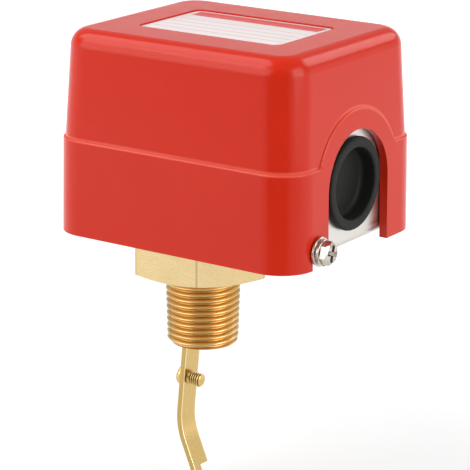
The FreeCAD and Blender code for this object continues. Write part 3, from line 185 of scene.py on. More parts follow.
def moulded_red():
    """Glossy injection-moulded plastic with a faint orange peel, and a painted highlight, a
    lighter red, along the rim of the lower band and of the arch over the cable entry."""
    paint = Paint("moulded_red")
    low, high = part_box("cover")
    entry_low, entry_high = OPENINGS["cable_entry"]["box_m"]
    waist = low.z + BAND_HEIGHT
    along, side, height = paint.node("ShaderNodeSeparateXYZ", {"Vector": paint.place}).outputs
    rise = paint.math("SUBTRACT", height, (entry_low[2] + entry_high[2]) / 2)
    squares = paint.math("ADD", paint.math("POWER", side, 2.0), paint.math("POWER", rise, 2.0))
    ring = paint.math("SQRT", squares)

    def ridge(value, centre):
        """1 within 0.35 mm of the centre, fading to 0 at 0.75 mm."""
        away = paint.math("ABSOLUTE", paint.math("SUBTRACT", value, centre))
        return paint.span(away, 1.0, 0.0, 0.35 * MM, 0.75 * MM)

    end_wall, clear_of_band = high.x - 6.0 * MM, waist + 0.7 * MM
    at_end = paint.math("GREATER_THAN", along, end_wall)
    above = paint.math("GREATER_THAN", height, clear_of_band)
    in_arch = paint.math("MULTIPLY", at_end, paint.math("LESS_THAN", ring, ARCH_RADIUS))
    beside_arch = paint.math("SUBTRACT", 1.0, in_arch)
    over_entry = paint.math("MULTIPLY", at_end, above)
    # Painted highlight: masks along the band's rim and the arch's rim, where the rounded edges
    # catch light.
    band_rim_highlight = paint.math("MULTIPLY", ridge(height, waist + 0.15 * MM), beside_arch)
    arch_rim_highlight = paint.math("MULTIPLY", ridge(ring, ARCH_RADIUS + 0.1 * MM), over_entry)
    painted_rim_highlight = paint.math("MAXIMUM", band_rim_highlight, arch_rim_highlight)
    blotch = paint.noise(45.0, 2.0)
    blotched_rim_highlight = paint.math("MULTIPLY", painted_rim_highlight, paint.span(blotch, 0.65, 1.0))
    colour = paint.mix(blotch, (0.620, 0.0230, 0.0050), (0.580, 0.0190, 0.0040))
    # The lighter red mixed in here is a painted highlight on those rims.
    colour = paint.mix(blotched_rim_highlight, colour, (0.74, 0.098, 0.060))
    peel = paint.bump(paint.noise(700.0, 2.0), 3.5 * MICRON)
    waves = paint.bump(paint.noise(60.0, 1.0), 40.0 * MICRON, peel)
    gloss = paint.span(paint.noise(260.0, 3.0), 0.17, 0.25)
    paint.set(Base_Color=colour, Roughness=gloss, Normal=waves, IOR=1.33)
    return paint.material


def brass(name, light, dark, gloss, grain, depth, corner=None):
    """Brass with tool marks: grain stretches the noise into lines along one axis. A corner
    radius, from the Z axis, darkens the colour towards the sharp corners of a hexagon."""
    paint = Paint(name)
    tone = paint.noise(90.0, 3.0)
    lines = paint.noise(900.0, 3.0, 0.6, grain)
    colour = paint.mix(tone, light, dark)
    if corner:
        flat = paint.vector_math("MULTIPLY", paint.place, (1.0, 1.0, 0.0))
        reach = paint.vector_math("LENGTH", flat, output="Value")
        edge = paint.span(reach, 0.0, 1.0, corner - 0.22 * MM, corner - 0.06 * MM)
        colour = paint.mix(edge, colour, tuple(0.72 * value for value in dark))
    shade = paint.span(lines, gloss - 0.05, gloss + 0.07)
    marks = paint.bump(lines, depth)
    paint.set(Base_Color=colour, Metallic=1.0, Roughness=shade, Normal=marks)
    return paint.material


def threaded_brass(name, light, dark, root_shade, centre, axis, crest, depth, taper=0.0):
    """Brass with a screw thread whose roots are painted darker, as painted shade in its grooves;
    taper widens the crest along Z.
    """
    paint = Paint(name)
    tone = paint.noise(90.0, 3.0)
    lines = paint.noise(900.0, 3.0, 0.6, ROUND_Z)
    aside = paint.vector_math("SUBTRACT", paint.place, centre)
    turned = paint.vector_math("CROSS_PRODUCT", aside, axis)
    reach = paint.vector_math("LENGTH", turned, output="Value")
    level = paint.math("SUBTRACT", reach, paint.math("MULTIPLY", paint.height(), taper))
    # Painted shade: the colour darkens towards the thread's roots.
    share = paint.span(level, 0.0, 1.0, crest - 0.85 * depth, crest - 0.15 * depth)
    colour = paint.mix(share, root_shade, paint.mix(tone, light, dark))
    paint.set(
        Base_Color=colour, Metallic=1.0, Roughness=paint.span(lines, 0.28, 0.40),
        Normal=paint.bump(lines, 2.0 * MICRON),
    )
    return paint.material


def sheared_brass():
    """The arm's rolled strip: darker on its sheared edges, partly the duller cut metal and partly
    painted shade, with a painted highlight along their rounded rims.
    """
    paint = Paint("sheared_brass")
    low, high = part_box("paddle_arm")
    half = (high.y - low.y) / 2
    lines = paint.noise(900.0, 3.0, 0.6, ALONG_Z)
    side = paint.node("ShaderNodeSeparateXYZ", {"Vector": paint.place}).outputs["Y"]
    reach = paint.math("ABSOLUTE", paint.math("SUBTRACT", side, (low.y + high.y) / 2))
    strip = paint.mix(paint.noise(90.0, 3.0), (0.75, 0.535, 0.215), (0.69, 0.48, 0.18))
    # Painted highlight: a pale line along the rounded rims of the strip's edges.
    rim = paint.span(reach, 0.0, 1.0, half - 0.50 * MM, half - 0.25 * MM)
    # Darker sheared edges: partly the duller cut metal, partly painted shade on those faces.
    edge = paint.span(reach, 0.0, 1.0, half - 0.10 * MM, half - 0.02 * MM)
    colour = paint.mix(edge, paint.mix(rim, strip, (0.96, 0.80, 0.46)), (0.54, 0.37, 0.13))
    paint.set(
        Base_Color=colour, Metallic=1.0, Roughness=paint.span(lines, 0.22, 0.34),
        Normal=paint.bump(lines, 2.0 * MICRON),
    )
    return paint.material


def plated(name, light, dark, gloss, grain=None, depth=2.0 * MICRON):
    """Zinc or nickel plate over steel."""
    paint = Paint(name)
    tone = paint.noise(160.0, 3.0)
    lines = paint.noise(900.0, 3.0, 0.6, grain)
    paint.set(
        Base_Color=paint.mix(tone, light, dark), Metallic=1.0,
        Roughness=paint.span(lines, gloss - 0.05, gloss + 0.08),
        Normal=paint.bump(lines, depth),
    )
    return paint.material


def plain_solid(name, light, dark, gloss, depth, scale=900.0, specular=0.5):
    """Rubber, thermoset or board: a speckled, slightly rough solid."""
    paint = Paint(name)
    grain = paint.noise(scale, 3.0, 0.6)
    paint.set(
        Base_Color=paint.mix(paint.noise(120.0, 3.0), light, dark),
        Roughness=paint.span(grain, gloss - 0.06, gloss + 0.06),
        Normal=paint.bump(grain, depth), Specular_IOR_Level=specular,
    )
    return paint.material


def printed_label():
    """White printed film: a red heading band along the far edge and thin plain rules."""
    paint = Paint("printed_label")
    low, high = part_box("label_plate")
    middle = (low + high) / 2
    split = paint.node("ShaderNodeSeparateXYZ", {"Vector": paint.place})
    across = paint.math("SUBTRACT", split.outputs["Y"], middle.y)
    along = paint.math("SUBTRACT", split.outputs["X"], middle.x)
    half_width, half_length = (high.y - low.y) / 2, (high.x - low.x) / 2
    margin, heading_low, heading_high = 2.0 * MM, 6.4 * MM, 1.2 * MM
    rule_places, rule_width = (3.0 * MM, -1.0 * MM, -5.0 * MM, -9.0 * MM), 0.35 * MM

    inset = paint.inside(along, margin - half_length, half_length - margin)
    heading = paint.inside(across, half_width - heading_low, half_width - heading_high)
    rules = paint.inside(across, rule_places[0], rule_places[0] + rule_width)
    for place in rule_places[1:]:
        rules = paint.math("MAXIMUM", rules, paint.inside(across, place, place + rule_width))
    paper = paint.mix(paint.noise(300.0, 2.0), (0.82, 0.745, 0.745), (0.785, 0.71, 0.71))
    ruled = paint.mix(paint.math("MULTIPLY", rules, inset), paper, (0.62, 0.30, 0.28))
    colour = paint.mix(paint.math("MULTIPLY", heading, inset), ruled, (0.72, 0.055, 0.045))
    film = paint.bump(paint.noise(800.0, 2.0), 3.0 * MICRON)
    paint.set(Base_Color=colour, Roughness=0.35, Normal=film)
    return paint.material


# Grains: how much each axis of the noise is squeezed.
ALONG_Z = (1.0, 1.0, 0.04)
ROUND_Z = (0.12, 0.12, 1.0)
ALONG_X = (0.04, 1.0, 1.0)
ALONG_Y = (1.0, 0.04, 1.0)

MATERIALS = {
    "cover_red": moulded_red(),
    "label": printed_label(),
    "brass": brass(
        "turned_brass", (0.71, 0.55, 0.295), (0.61, 0.46, 0.225), 0.27, ROUND_Z, 2.5 * MICRON,
        corner=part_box("brass_body")[1].x,
    ),
    # The third colour of each threaded brass is painted shade in its thread roots.
    "thread": threaded_brass(
        "thread_brass", (0.90, 0.67, 0.34), (0.83, 0.59, 0.27), (0.58, 0.31, 0.08),
        (0.0, 0.0, 0.0), UP, PIPE_CREST, PIPE_DEPTH, PIPE_TAPER,
    ),
    "stud": threaded_brass(
        "stud_brass", (0.82, 0.62, 0.29), (0.76, 0.55, 0.23), (0.14, 0.065, 0.02),
        MOUNTS["paddle_stud"]["pos_m"], MOUNTS["paddle_stud"]["axis"],
        STUD_RADIUS, THREAD_SHARE * M4_PITCH,
    ),
    "arm_brass": brass(
        "rolled_brass", (0.76, 0.53, 0.20), (0.70, 0.475, 0.165), 0.30, ALONG_Z, 2.0 * MICRON,
    ),
    "arm_strip": sheared_brass(),
    "bellows_brass": brass(
        "bellows_brass", (0.82, 0.62, 0.32), (0.74, 0.54, 0.26), 0.2, ROUND_Z, 1.0 * MICRON,
    ),
    "terminal_brass": brass(
        "stamped_brass", (0.84, 0.68, 0.38), (0.78, 0.60, 0.32), 0.22, ALONG_X, 1.0 * MICRON,
    ),
    "zinc_steel": plated(
        "zinc_sheet", (0.67, 0.655, 0.61), (0.59, 0.575, 0.54), 0.34, ALONG_Y, 5.0 * MICRON,
    ),
    "zinc_screw": plated("zinc_screw", (0.72, 0.72, 0.70), (0.62, 0.62, 0.60), 0.26),
    "nickel": plated("nickel_plate", (0.60, 0.56, 0.50), (0.50, 0.46, 0.40), 0.27),
    # recess: a dark nickel, painted shade inside the cross recesses.
    "recess": plated("recess_shade_nickel", (0.24, 0.21, 0.17), (0.16, 0.14, 0.11), 0.3),
    "steel_pin": plated("ground_steel", (0.60, 0.60, 0.60), (0.52, 0.52, 0.52), 0.22, ALONG_Y),
    "spring_steel": plated("spring_wire", (0.52, 0.52, 0.53), (0.42, 0.42, 0.43), 0.24),
    "ground_green": plated("green_passivated", (0.16, 0.42, 0.16), (0.10, 0.32, 0.12), 0.28),
    "rubber": plain_solid(
        "black_rubber", (0.0145, 0.015, 0.0130), (0.0105, 0.0105, 0.0095), 0.5, 4.0 * MICRON,
        specular=0.12,
    ),
    "black_plastic": plain_solid(
        "black_thermoset", (0.022, 0.022, 0.023), (0.014, 0.014, 0.015), 0.36, 4.0 * MICRON,
    ),
    "plunger_plastic": plain_solid(
        "plunger_red", (0.50, 0.05, 0.03), (0.42, 0.04, 0.025), 0.38, 2.0 * MICRON,
    ),
    "insulation": plain_solid(
        "pressboard", (0.46, 0.32, 0.19), (0.36, 0.24, 0.13), 0.62, 10.0 * MICRON, 400.0,
    ),
}


def dress_nodes():
    """Every CAD node gets the material of its record slot, and the arm its own strip."""
    slots = {part["node"]: part["material_slot"] for part in RECORD["subparts"]}
    slots["paddle_arm"] = "arm_strip"
    for name, node in NODES.items():
        for slot in node.material_slots:
            slot.material = MATERIALS[slots[name]]


# ----------------------------------------------------------------------------- light, floor, camera

CAMERA_PLACE = (0.357086, -0.508611, 0.192168)
CAMERA_AZIMUTH, CAMERA_ELEVATION, CAMERA_ROLL = -55.750, 16.352, 0.412
CAMERA_LENS, SENSOR_WIDTH = 176.65, 36.0

# The world's strength for bounced light, above the white sweep, and in the dark gap.
ROOM_LEVEL = 0.50
SWEEP_ABOVE = 0.38
GAP_LEVEL = 0.12

# Where the sweep fades and the gap lies: elevations, aim and half-angles, in degrees.
SWEEP_FADE = (7.0, 15.0)
GAP_AIM = (-69.0, 4.0)
GAP_FADE = (46.0, 34.0)

# Name, azimuth and elevation in degrees, distance, width and height in metres, power in watts.
LAMPS = [
    ("key", -118.0, 24.0, 0.9, 0.8, 0.6, 3.6),
    ("fill", 2.0, 20.0, 0.9, 0.6, 0.7, 4.6),
    ("overhead", -152.0, 54.0, 1.0, 0.8, 0.6, 4.6),
    ("rim", 70.0, 33.0, 1.0, 0.5, 0.4, 1.6),
]

FLOOR_GAP = 1.5 * MM
FLOOR_REACH = 4.0
FLOOR_FRONT = 0.25

# The floor's own glow near the object and far from it, and between which distances it grows.
FLOOR_GLOW = (0.10, 0.45)
FLOOR_FADE = (0.42, 0.80)


def studio_world():
    """Even pale surroundings. Reflections meet a white sweep under a dimmer room, with a dark
    gap on the camera's side; the camera sees white all round."""
    world = bpy.data.worlds.new("studio")
    bpy.context.scene.world = world
    world.use_nodes = True
    tree = world.node_tree
    tree.nodes.clear()

    def node(kind, inputs=(), **settings):
        return add_node(tree, kind, inputs, **settings)

    def faded(value, start, end, high):
        """Runs from 1 at start to high at end."""
        return node("ShaderNodeMapRange", {
            "Value": value, "From Min": start, "From Max": end, "To Min": 1.0, "To Max": high,
        }, interpolation_type="SMOOTHSTEP").outputs["Result"]

    def blended(factor, first, second):
        mix = node("ShaderNodeMix", {"Factor": factor, 2: first, 3: second}, data_type="FLOAT")
        return mix.outputs[0]

    place = node("ShaderNodeTexCoord").outputs["Generated"]
    height = node("ShaderNodeSeparateXYZ", {"Vector": place}).outputs["Z"]
    fade_low, fade_high = (math.sin(math.radians(angle)) for angle in SWEEP_FADE)
    sweep = faded(height, fade_low, fade_high, SWEEP_ABOVE)
    aim = node("ShaderNodeVectorMath", {0: place, 1: direction(*GAP_AIM)}, operation="DOT_PRODUCT")
    gap_edge, gap_core = (math.cos(math.radians(angle)) for angle in GAP_FADE)
    open_share = faded(aim.outputs["Value"], gap_edge, gap_core, GAP_LEVEL)
    gapped = node("ShaderNodeMath", {0: sweep, 1: open_share}, operation="MULTIPLY").outputs[0]
    path = node("ShaderNodeLightPath").outputs
    mirrors = {0: path["Is Glossy Ray"], 1: path["Is Transmission Ray"]}
    mirrored = node("ShaderNodeMath", mirrors, operation="MAXIMUM").outputs[0]
    strength = blended(path["Is Camera Ray"], blended(mirrored, ROOM_LEVEL, gapped), 1.0)
    white = (1.0, 1.0, 1.0, 1.0)
    background = node("ShaderNodeBackground", {"Color": white, "Strength": strength})
    output = node("ShaderNodeOutputWorld")
    tree.links.new(background.outputs[0], output.inputs[0])


def direction(azimuth, elevation):
    """A unit vector from an azimuth and an elevation in degrees; azimuth 0 is +X."""
    turn, rise = math.radians(azimuth), math.radians(elevation)
    level = math.cos(rise)
    return Vector((level * math.cos(turn), level * math.sin(turn), math.sin(rise)))


def softbox(name, azimuth, elevation, distance, width, height, power):
    """A rectangular lamp aimed at the middle of the object."""
    lamp = bpy.data.lights.new(name, "AREA")
    lamp.shape = "RECTANGLE"
    lamp.size, lamp.size_y, lamp.energy = width, height, power
    holder = bpy.data.objects.new(name, lamp)
    bpy.context.scene.collection.objects.link(holder)
    target = sum((Vector(corner) for corner in cad_bounds), Vector()) / 2
    holder.location = target + direction(azimuth, elevation) * distance
    holder.rotation_euler = (target - holder.location).to_track_quat("-Z", "Y").to_euler()


def pale_floor():
    """A wide white floor just below the arm, cut short on the camera's side. It keeps the
    shadow near the object, and fades to full white further out."""
    shape = bmesh.new()
    forward = direction(CAMERA_AZIMUTH, 0.0)
    aside = Vector((-forward.y, forward.x, 0.0)) * FLOOR_REACH
    centre = UP * (cad_bounds[0][2] - FLOOR_GAP)
    front, back = centre + forward * FLOOR_FRONT, centre - forward * FLOOR_REACH
    corners = (front - aside, front + aside, back + aside, back - aside)
    shape.faces.new([shape.verts.new(corner) for corner in corners])
    floor = finish_mesh("floor", shape)
    paint = Paint("pale_floor")
    path = paint.node("ShaderNodeLightPath").outputs
    mirrored = paint.math("MAXIMUM", path["Is Glossy Ray"], path["Is Transmission Ray"])
    shown = paint.math("MAXIMUM", path["Is Camera Ray"], mirrored)
    distance = paint.vector_math("LENGTH", paint.place, output="Value")
    glow = paint.span(distance, *FLOOR_FADE, *FLOOR_GLOW)
    speckle = paint.mix(paint.noise(30.0, 2.0), (0.54, 0.54, 0.54), (0.52, 0.52, 0.52))
    paint.set(
        Base_Color=speckle, Roughness=0.9, Specular_IOR_Level=0.0,
        Emission_Color=(1.0, 1.0, 1.0, 1.0), Emission_Strength=paint.math("MULTIPLY", shown, glow),
    )
    floor.data.materials.append(paint.material)


def photo_camera():
    """The camera at the photograph's viewing angle."""
    lens = bpy.data.cameras.new("camera")
    lens.lens, lens.sensor_width = CAMERA_LENS, SENSOR_WIDTH
    lens.clip_start, lens.clip_end = 0.01, 20.0
    camera = bpy.data.objects.new("camera", lens)
    bpy.context.scene.collection.objects.link(camera)
    turn = Matrix.Rotation(math.radians(CAMERA_AZIMUTH + 90.0), 4, "Z")
    tilt = Matrix.Rotation(math.radians(90.0 - CAMERA_ELEVATION), 4, "X")
    roll = Matrix.Rotation(math.radians(CAMERA_ROLL), 4, "Z")
    camera.matrix_world = Matrix.Translation(CAMERA_PLACE) @ turn @ tilt @ roll
    bpy.context.scene.camera = camera


# ----------------------------------------------------------------------------- mesh helpers

def finish_mesh(name, shape, sharp=35.0):
    """A mesh object from a bmesh: welded, outward, smooth but for its sharp edges."""
    bmesh.ops.remove_doubles(shape, verts=shape.verts, dist=1e-7)
    bmesh.ops.dissolve_degenerate(shape, edges=shape.edges, dist=1e-7)
    bmesh.ops.recalc_face_normals(shape, faces=shape.faces)
    mesh = bpy.data.meshes.new(name)
    shape.to_mesh(mesh)
    shape.free()
    mesh.shade_smooth()
    mesh.set_sharp_from_angle(angle=math.radians(sharp))
    item = bpy.data.objects.new(name, mesh)
    bpy.context.scene.collection.objects.link(item)
    return item


def stand_for(item, slot, *nodes):
    """The piece takes over CAD nodes of one body, with that body's motion and a record slot."""
    item.data.materials.append(MATERIALS[slot])
    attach(item, BODY_OF[nodes[0]])
    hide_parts(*nodes)
    return item


# One pitch of a rounded thread: share of the pitch, share of the depth.
THREAD_FORM = [
    (0.00, 1.00), (0.06, 0.96), (0.12, 0.82), (0.30, 0.20), (0.36, 0.05),
    (0.43, 0.00), (0.57, 0.00), (0.64, 0.05), (0.70, 0.20), (0.88, 0.82), (0.94, 0.96),
]


def thread_height(share):
    """Height of the thread form, 0 at the root and 1 at the crest, at a share of the pitch."""
    share %= 1.0
    form = THREAD_FORM + [(1.0, THREAD_FORM[0][1])]
    for (start, low), (end, high) in zip(form, form[1:]):
        if share <= end:
            return low + (high - low) * (share - start) / (end - start)
    return form[-1][1]


def thread_rings(low, high, pitch, crest, depth, count, limit):
    """Rings of a screw thread from low to high. Its crest radius, its depth and the largest
    radius that an end bevel leaves are functions of height. The points climb with the angle,
    so the ridge is a true helix. They are held between low and high, where the points of
    neighbouring rings coincide."""
    turns = int(math.ceil((high - low) / pitch)) + 2
    rings = []
    for turn in range(-2, turns):
        for share, _ in THREAD_FORM:
            ring = []
            for number in range(count):
                angle = 2 * math.pi * number / count
                rise = low + pitch * (turn + share + number / count)
                held = min(max(rise, low), high)
                form = thread_height((held - low) / pitch - number / count)
                reach = min(crest(held) - depth(held) * (1.0 - form), limit(held))
                ring.append(Vector((reach * math.cos(angle), reach * math.sin(angle), held)))
            rings.append(ring)
    return rings


def thread_skin(shape, rings, place):
    """Quads over thread rings; round the seam each ring continues one pitch higher."""
    made = [[shape.verts.new(place @ point) for point in ring] for ring in rings]
    last, count, step = len(made) - 1, len(made[0]), len(THREAD_FORM)
    for low in range(last):
        for number in range(count - 1):
            shape.faces.new((made[low][number], made[low][number + 1],
                             made[low + 1][number + 1], made[low + 1][number]))
        seam = (made[low][-1], made[min(low + step, last)][0],
                made[min(low + 1 + step, last)][0], made[low + 1][-1])
        if len(set(seam)) > 2:
            shape.faces.new(list(dict.fromkeys(seam)))
    return made


# ----------------------------------------------------------------------------- solids

def even_angles(count):
    return [2 * math.pi * number / count for number in range(count)]


def polar_ring(angles, radius, height):
    """Points round Z; radius and height are lengths or functions of the angle."""
    points = []
    for angle in angles:
        reach = radius(angle) if callable(radius) else radius
        rise = height(angle) if callable(height) else height
        points.append(Vector((reach * math.cos(angle), reach * math.sin(angle), rise)))
    return points


def add_ring(shape, points, place):
    return [shape.verts.new(place @ point) for point in points]


def join_rings(shape, low, high):
    """Quads between two rings of vertices, all the way round."""
    for number in range(len(low)):
        after = (number + 1) % len(low)
        shape.faces.new((low[number], low[after], high[after], high[number]))


def polar_solid(shape, rings, angles, place=Matrix(), closed=False):
    """A solid through rings of (radius, height). It ends in points, or closes on itself."""
    made = [add_ring(shape, polar_ring(angles, *ring), place) for ring in rings]
    for low, high in zip(made, made[1:]):
        join_rings(shape, low, high)
    if closed:
        join_rings(shape, made[-1], made[0])
    return made


def capped_rings(shape, made):
    """Joins rings of vertices into a tube and closes its ends."""
    for before, after in zip(made, made[1:]):
        join_rings(shape, before, after)
    shape.faces.new(list(reversed(made[0])))
    shape.faces.new(made[-1])


def facing(origin, axis, roll=0.0):
    """The matrix that stands +Z along an axis at a point."""
    turn = Vector(axis).to_track_quat("Z", "Y").to_matrix().to_4x4()
    return Matrix.Translation(origin) @ turn @ Matrix.Rotation(roll, 4, "Z")


def arc(centre, radius, start, end, steps):
    """Points of an arc as pairs; angles in degrees."""
    points = []
    for number in range(steps + 1):
        angle = math.radians(start + (end - start) * number / steps)
        points.append((centre[0] + radius * math.cos(angle), centre[1] + radius * math.sin(angle)))
    return points


def hexagon(apothem):
    """Radius of a hexagon with corners at multiples of 60 degrees, as a function of the angle."""
    sixth = math.pi / 3
    return lambda angle: apothem / math.cos(angle % sixth - sixth / 2)


def solid_boxes(node):
    """The (lowest, highest) corners of each separate solid of a CAD node, in X, Y, Z order."""
    mesh = NODES[node].data
    spot = {}
    leader = list(range(len(mesh.vertices)))

    def root(index):
        while leader[index] != index:
            leader[index] = leader[leader[index]]
            index = leader[index]
        return index

    for vertex in mesh.vertices:
        key = tuple(round(value, 7) for value in vertex.co)
        leader[vertex.index] = spot.setdefault(key, vertex.index)
    for edge in mesh.edges:
        leader[root(edge.vertices[0])] = root(edge.vertices[1])
    groups = {}
    for vertex in mesh.vertices:
        groups.setdefault(root(vertex.index), []).append(vertex.co)
    boxes = []
    for points in groups.values():
        low = Vector([min(point[axis] for point in points) for axis in range(3)])
        high = Vector([max(point[axis] for point in points) for axis in range(3)])
        boxes.append((low, high))
    return sorted(boxes, key=lambda box: tuple(round(value, 5) for value in box[0]))


# ----------------------------------------------------------------------------- threads and screws

def threaded_stud(shape, radius, pitch, low, high, place, count, chamfer):
    """A closed threaded rod from low to high; chamfer bevels its low end."""
    depth = THREAD_SHARE * pitch
    rings = thread_rings(
        low, high, pitch, lambda _: radius, lambda _: depth, count,
        lambda rise: radius - max(0.0, chamfer - (rise - low)),
    )
    made = thread_skin(shape, rings, place)
    for ring, height in ((made[0], low), (made[-1], high)):
        tip = add_ring(shape, polar_ring(even_angles(count), 0.0, height), place)
        join_rings(shape, ring, tip)


def cross_recess(half_width, half_length):
    """Radius of a cross with four equal arms as a function of the angle, and its corner angles."""
    corner = math.atan2(half_width, half_length)

    def radius(angle):
        angle = angle % (math.pi / 2)
        angle = min(angle, math.pi / 2 - angle)
        return half_length / math.cos(angle) if angle <= corner else half_width / math.sin(angle)

    between = (corner + math.pi / 4) / 2
    turns = (0.0, corner, between, math.pi / 4, math.pi / 2 - between, math.pi / 2 - corner)
    return radius, [quarter * math.pi / 2 + turn for quarter in range(4) for turn in turns]


def cross_head(shape, radius, height, place, recess_size, hexagonal):
    """A screw head, round with a domed edge or six-sided, and its cross recess. recess_size is
    the recess's reach as a share of the radius. The recess's faces get the second material,
    a dark nickel painted on as shade."""
    half_arm, deep = radius * 0.19, height * 0.62
    cross, angles = cross_recess(half_arm, radius * recess_size)
    outer = even_angles(6 if hexagonal else 32)
    angles = sorted(set(round(angle, 9) for angle in angles + outer))
    if hexagonal:
        flat = radius * math.cos(math.pi / 6)
        outline = hexagon(flat)
        shoulder = height - 0.10 * flat
        rings = [
            (0.0, 0.0), (flat * 0.9, 0.0), (outline, 0.0),
            (outline, lambda angle: shoulder - (outline(angle) - flat) * 0.9),
            (lambda angle: min(outline(angle), flat * 0.985), shoulder),
            (flat * 0.88, height),
        ]
    else:
        dome = height * 0.55
        edge = arc((radius - dome, height - dome), dome, 0, 90, 5)
        rings = [(0.0, 0.0), (radius - 0.06 * height, 0.0), (radius, 0.06 * height)] + edge
        rings.append((radius * 0.62, height + 0.02 * height))
    top = rings[-1][1]
    rings += [
        (lambda angle: cross(angle) * 1.06, top),
        (cross, top - height * 0.03),
        (lambda angle: cross(angle) * 0.62, top - deep),
        (0.0, top - deep * 1.15),
    ]
    *_, rim, lip, wall, tip = polar_solid(shape, rings, angles, place)
    inside = {*rim, *lip, *wall, *tip}
    # These recess faces take the dark second material, painted shade.
    for vertex in wall + lip:
        for face in vertex.link_faces:
            if inside.issuperset(face.verts):
                face.material_index = 1


def slotted_head(shape, radius, height, half_slot, depth, place):
    """A round head with one slot along its local X axis."""
    blank = bmesh.new()
    soft = 0.25 * height
    edge = arc((radius - soft, height - soft), soft, 0, 90, 3)
    polar_solid(blank, [(0.0, 0.0), (radius, 0.0)] + edge + [(0.0, height)], even_angles(48))
    cut_slot(shape, blank, half_slot, height - depth, place)


def cut_slot(shape, blank, half_slot, floor, place):
    """Cuts a slot into a blank with planes, and adds its two sides and what is under the
    slot's floor to shape."""
    bmesh.ops.remove_doubles(blank, verts=blank.verts, dist=1e-7)
    cuts = (
        ((0, half_slot, 0), (0, 1, 0), "clear_inner"),
        ((0, -half_slot, 0), (0, -1, 0), "clear_inner"),
        ((0, 0, floor), (0, 0, 1), "clear_outer"),
    )
    for point, normal, cleared in cuts:
        part = blank.copy()
        geometry = part.verts[:] + part.edges[:] + part.faces[:]
        bmesh.ops.bisect_plane(
            part, geom=geometry, plane_co=point, plane_no=normal, **{cleared: True},
        )
        bmesh.ops.holes_fill(part, edges=[edge for edge in part.edges if edge.is_boundary])
        pour(shape, part, place)
    blank.free()


def pour(shape, other, place):
    """Copies another bmesh into shape through a matrix, and frees it."""
    copies = {vertex: shape.verts.new(place @ vertex.co) for vertex in other.verts}
    for face in other.faces:
        shape.faces.new([copies[vertex] for vertex in face.verts])
    other.free()


def screws(node, slot, axes, head_height, shank, pitch, hexagonal=False, recess=0.55):
    """Replaces a node of like screws: threaded shanks and heads with cross recesses, each
    turned a little further than the one before. axes are their outward directions in turn."""
    shape = bmesh.new()
    overlap, chamfer = 0.2 * MM, 0.4 * MM
    for number, (low, high) in enumerate(solid_boxes(node)):
        outward = axes[number % len(axes)]
        size, middle = high - low, (high + low) / 2
        total = abs(size.dot(outward))
        seat = middle + outward * (total / 2 - head_height)
        sideways = max(size[axis] for axis in range(3) if abs(outward[axis]) < 0.5) / 2
        place = facing(seat, outward, 0.4 + 0.9 * number)
        cross_head(shape, sideways, head_height, place, recess, hexagonal)
        threaded_stud(shape, shank, pitch, head_height - total, overlap, place, 24, chamfer)
    piece = stand_for(finish_mesh(f"{node}_detailed", shape, 50.0), slot, node)
    # The second material paints shade into the cross recesses.
    piece.data.materials.append(MATERIALS["recess"])


def pipe_body():
    """The hexagon with its tapered pipe thread and bores, in place of the plain solid."""
    count = 144
    angles = even_angles(count)
    low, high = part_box("brass_body")
    apothem = high.x * math.cos(math.pi / 6)
    outline = hexagon(apothem)
    runout = 1.3 * PIPE_PITCH
    end_bevel_height, end_bevel_slope = 0.7 * MM, 0.8
    corner_rise = 1.08 / 3.785

    # The bores, from the top: the seat's mouth, the groove in its floor and the land inside
    # it, the cavity, and the water bore with its bevelled mouth.
    mouth, groove, land, cavity, bore, bore_mouth = (
        radius * MM for radius in (13.0, 12.4, 10.8, 10.0, 7.0, 8.4)
    )
    seat, groove_floor = high.z - 2.5 * MM, high.z - 3.8 * MM
    cavity_floor = 0.5 * MM

    def crest(height):
        return PIPE_CREST + height * PIPE_TAPER

    def depth_at(height):
        return PIPE_DEPTH * min(1.0, max(0.0, -height / runout))

    def end_bevel(height):
        cut = max(0.0, end_bevel_height - (height - low.z))
        return crest(height) - cut * end_bevel_slope

    shape = bmesh.new()
    rings = thread_rings(low.z, 0.0, PIPE_PITCH, crest, depth_at, count, end_bevel)
    thread = thread_skin(shape, rings, Matrix())
    rest = polar_solid(shape, [
        (apothem, 0.0),
        (outline, lambda angle: (outline(angle) - apothem) * corner_rise),
        (outline, high.z), (mouth, high.z), (mouth, seat),
        (groove, seat), (groove, groove_floor), (land, groove_floor), (land, seat),
        (cavity, seat), (cavity, cavity_floor),
        (bore, cavity_floor), (bore, low.z + 0.4 * MM), (bore_mouth, low.z),
    ], angles)
    join_rings(shape, thread[-1], rest[0])
    join_rings(shape, rest[-1], thread[0])
    body = finish_mesh("brass_body_threaded", shape, 32.0)
    stand_for(body, "brass", "brass_body")
    body.data.materials.append(MATERIALS["thread"])
    end_face = 9.0 * MM
    for face in body.data.polygons:
        if face.center.z < -0.01 * MM and face.center.xy.length > end_face:
            face.material_index = 1


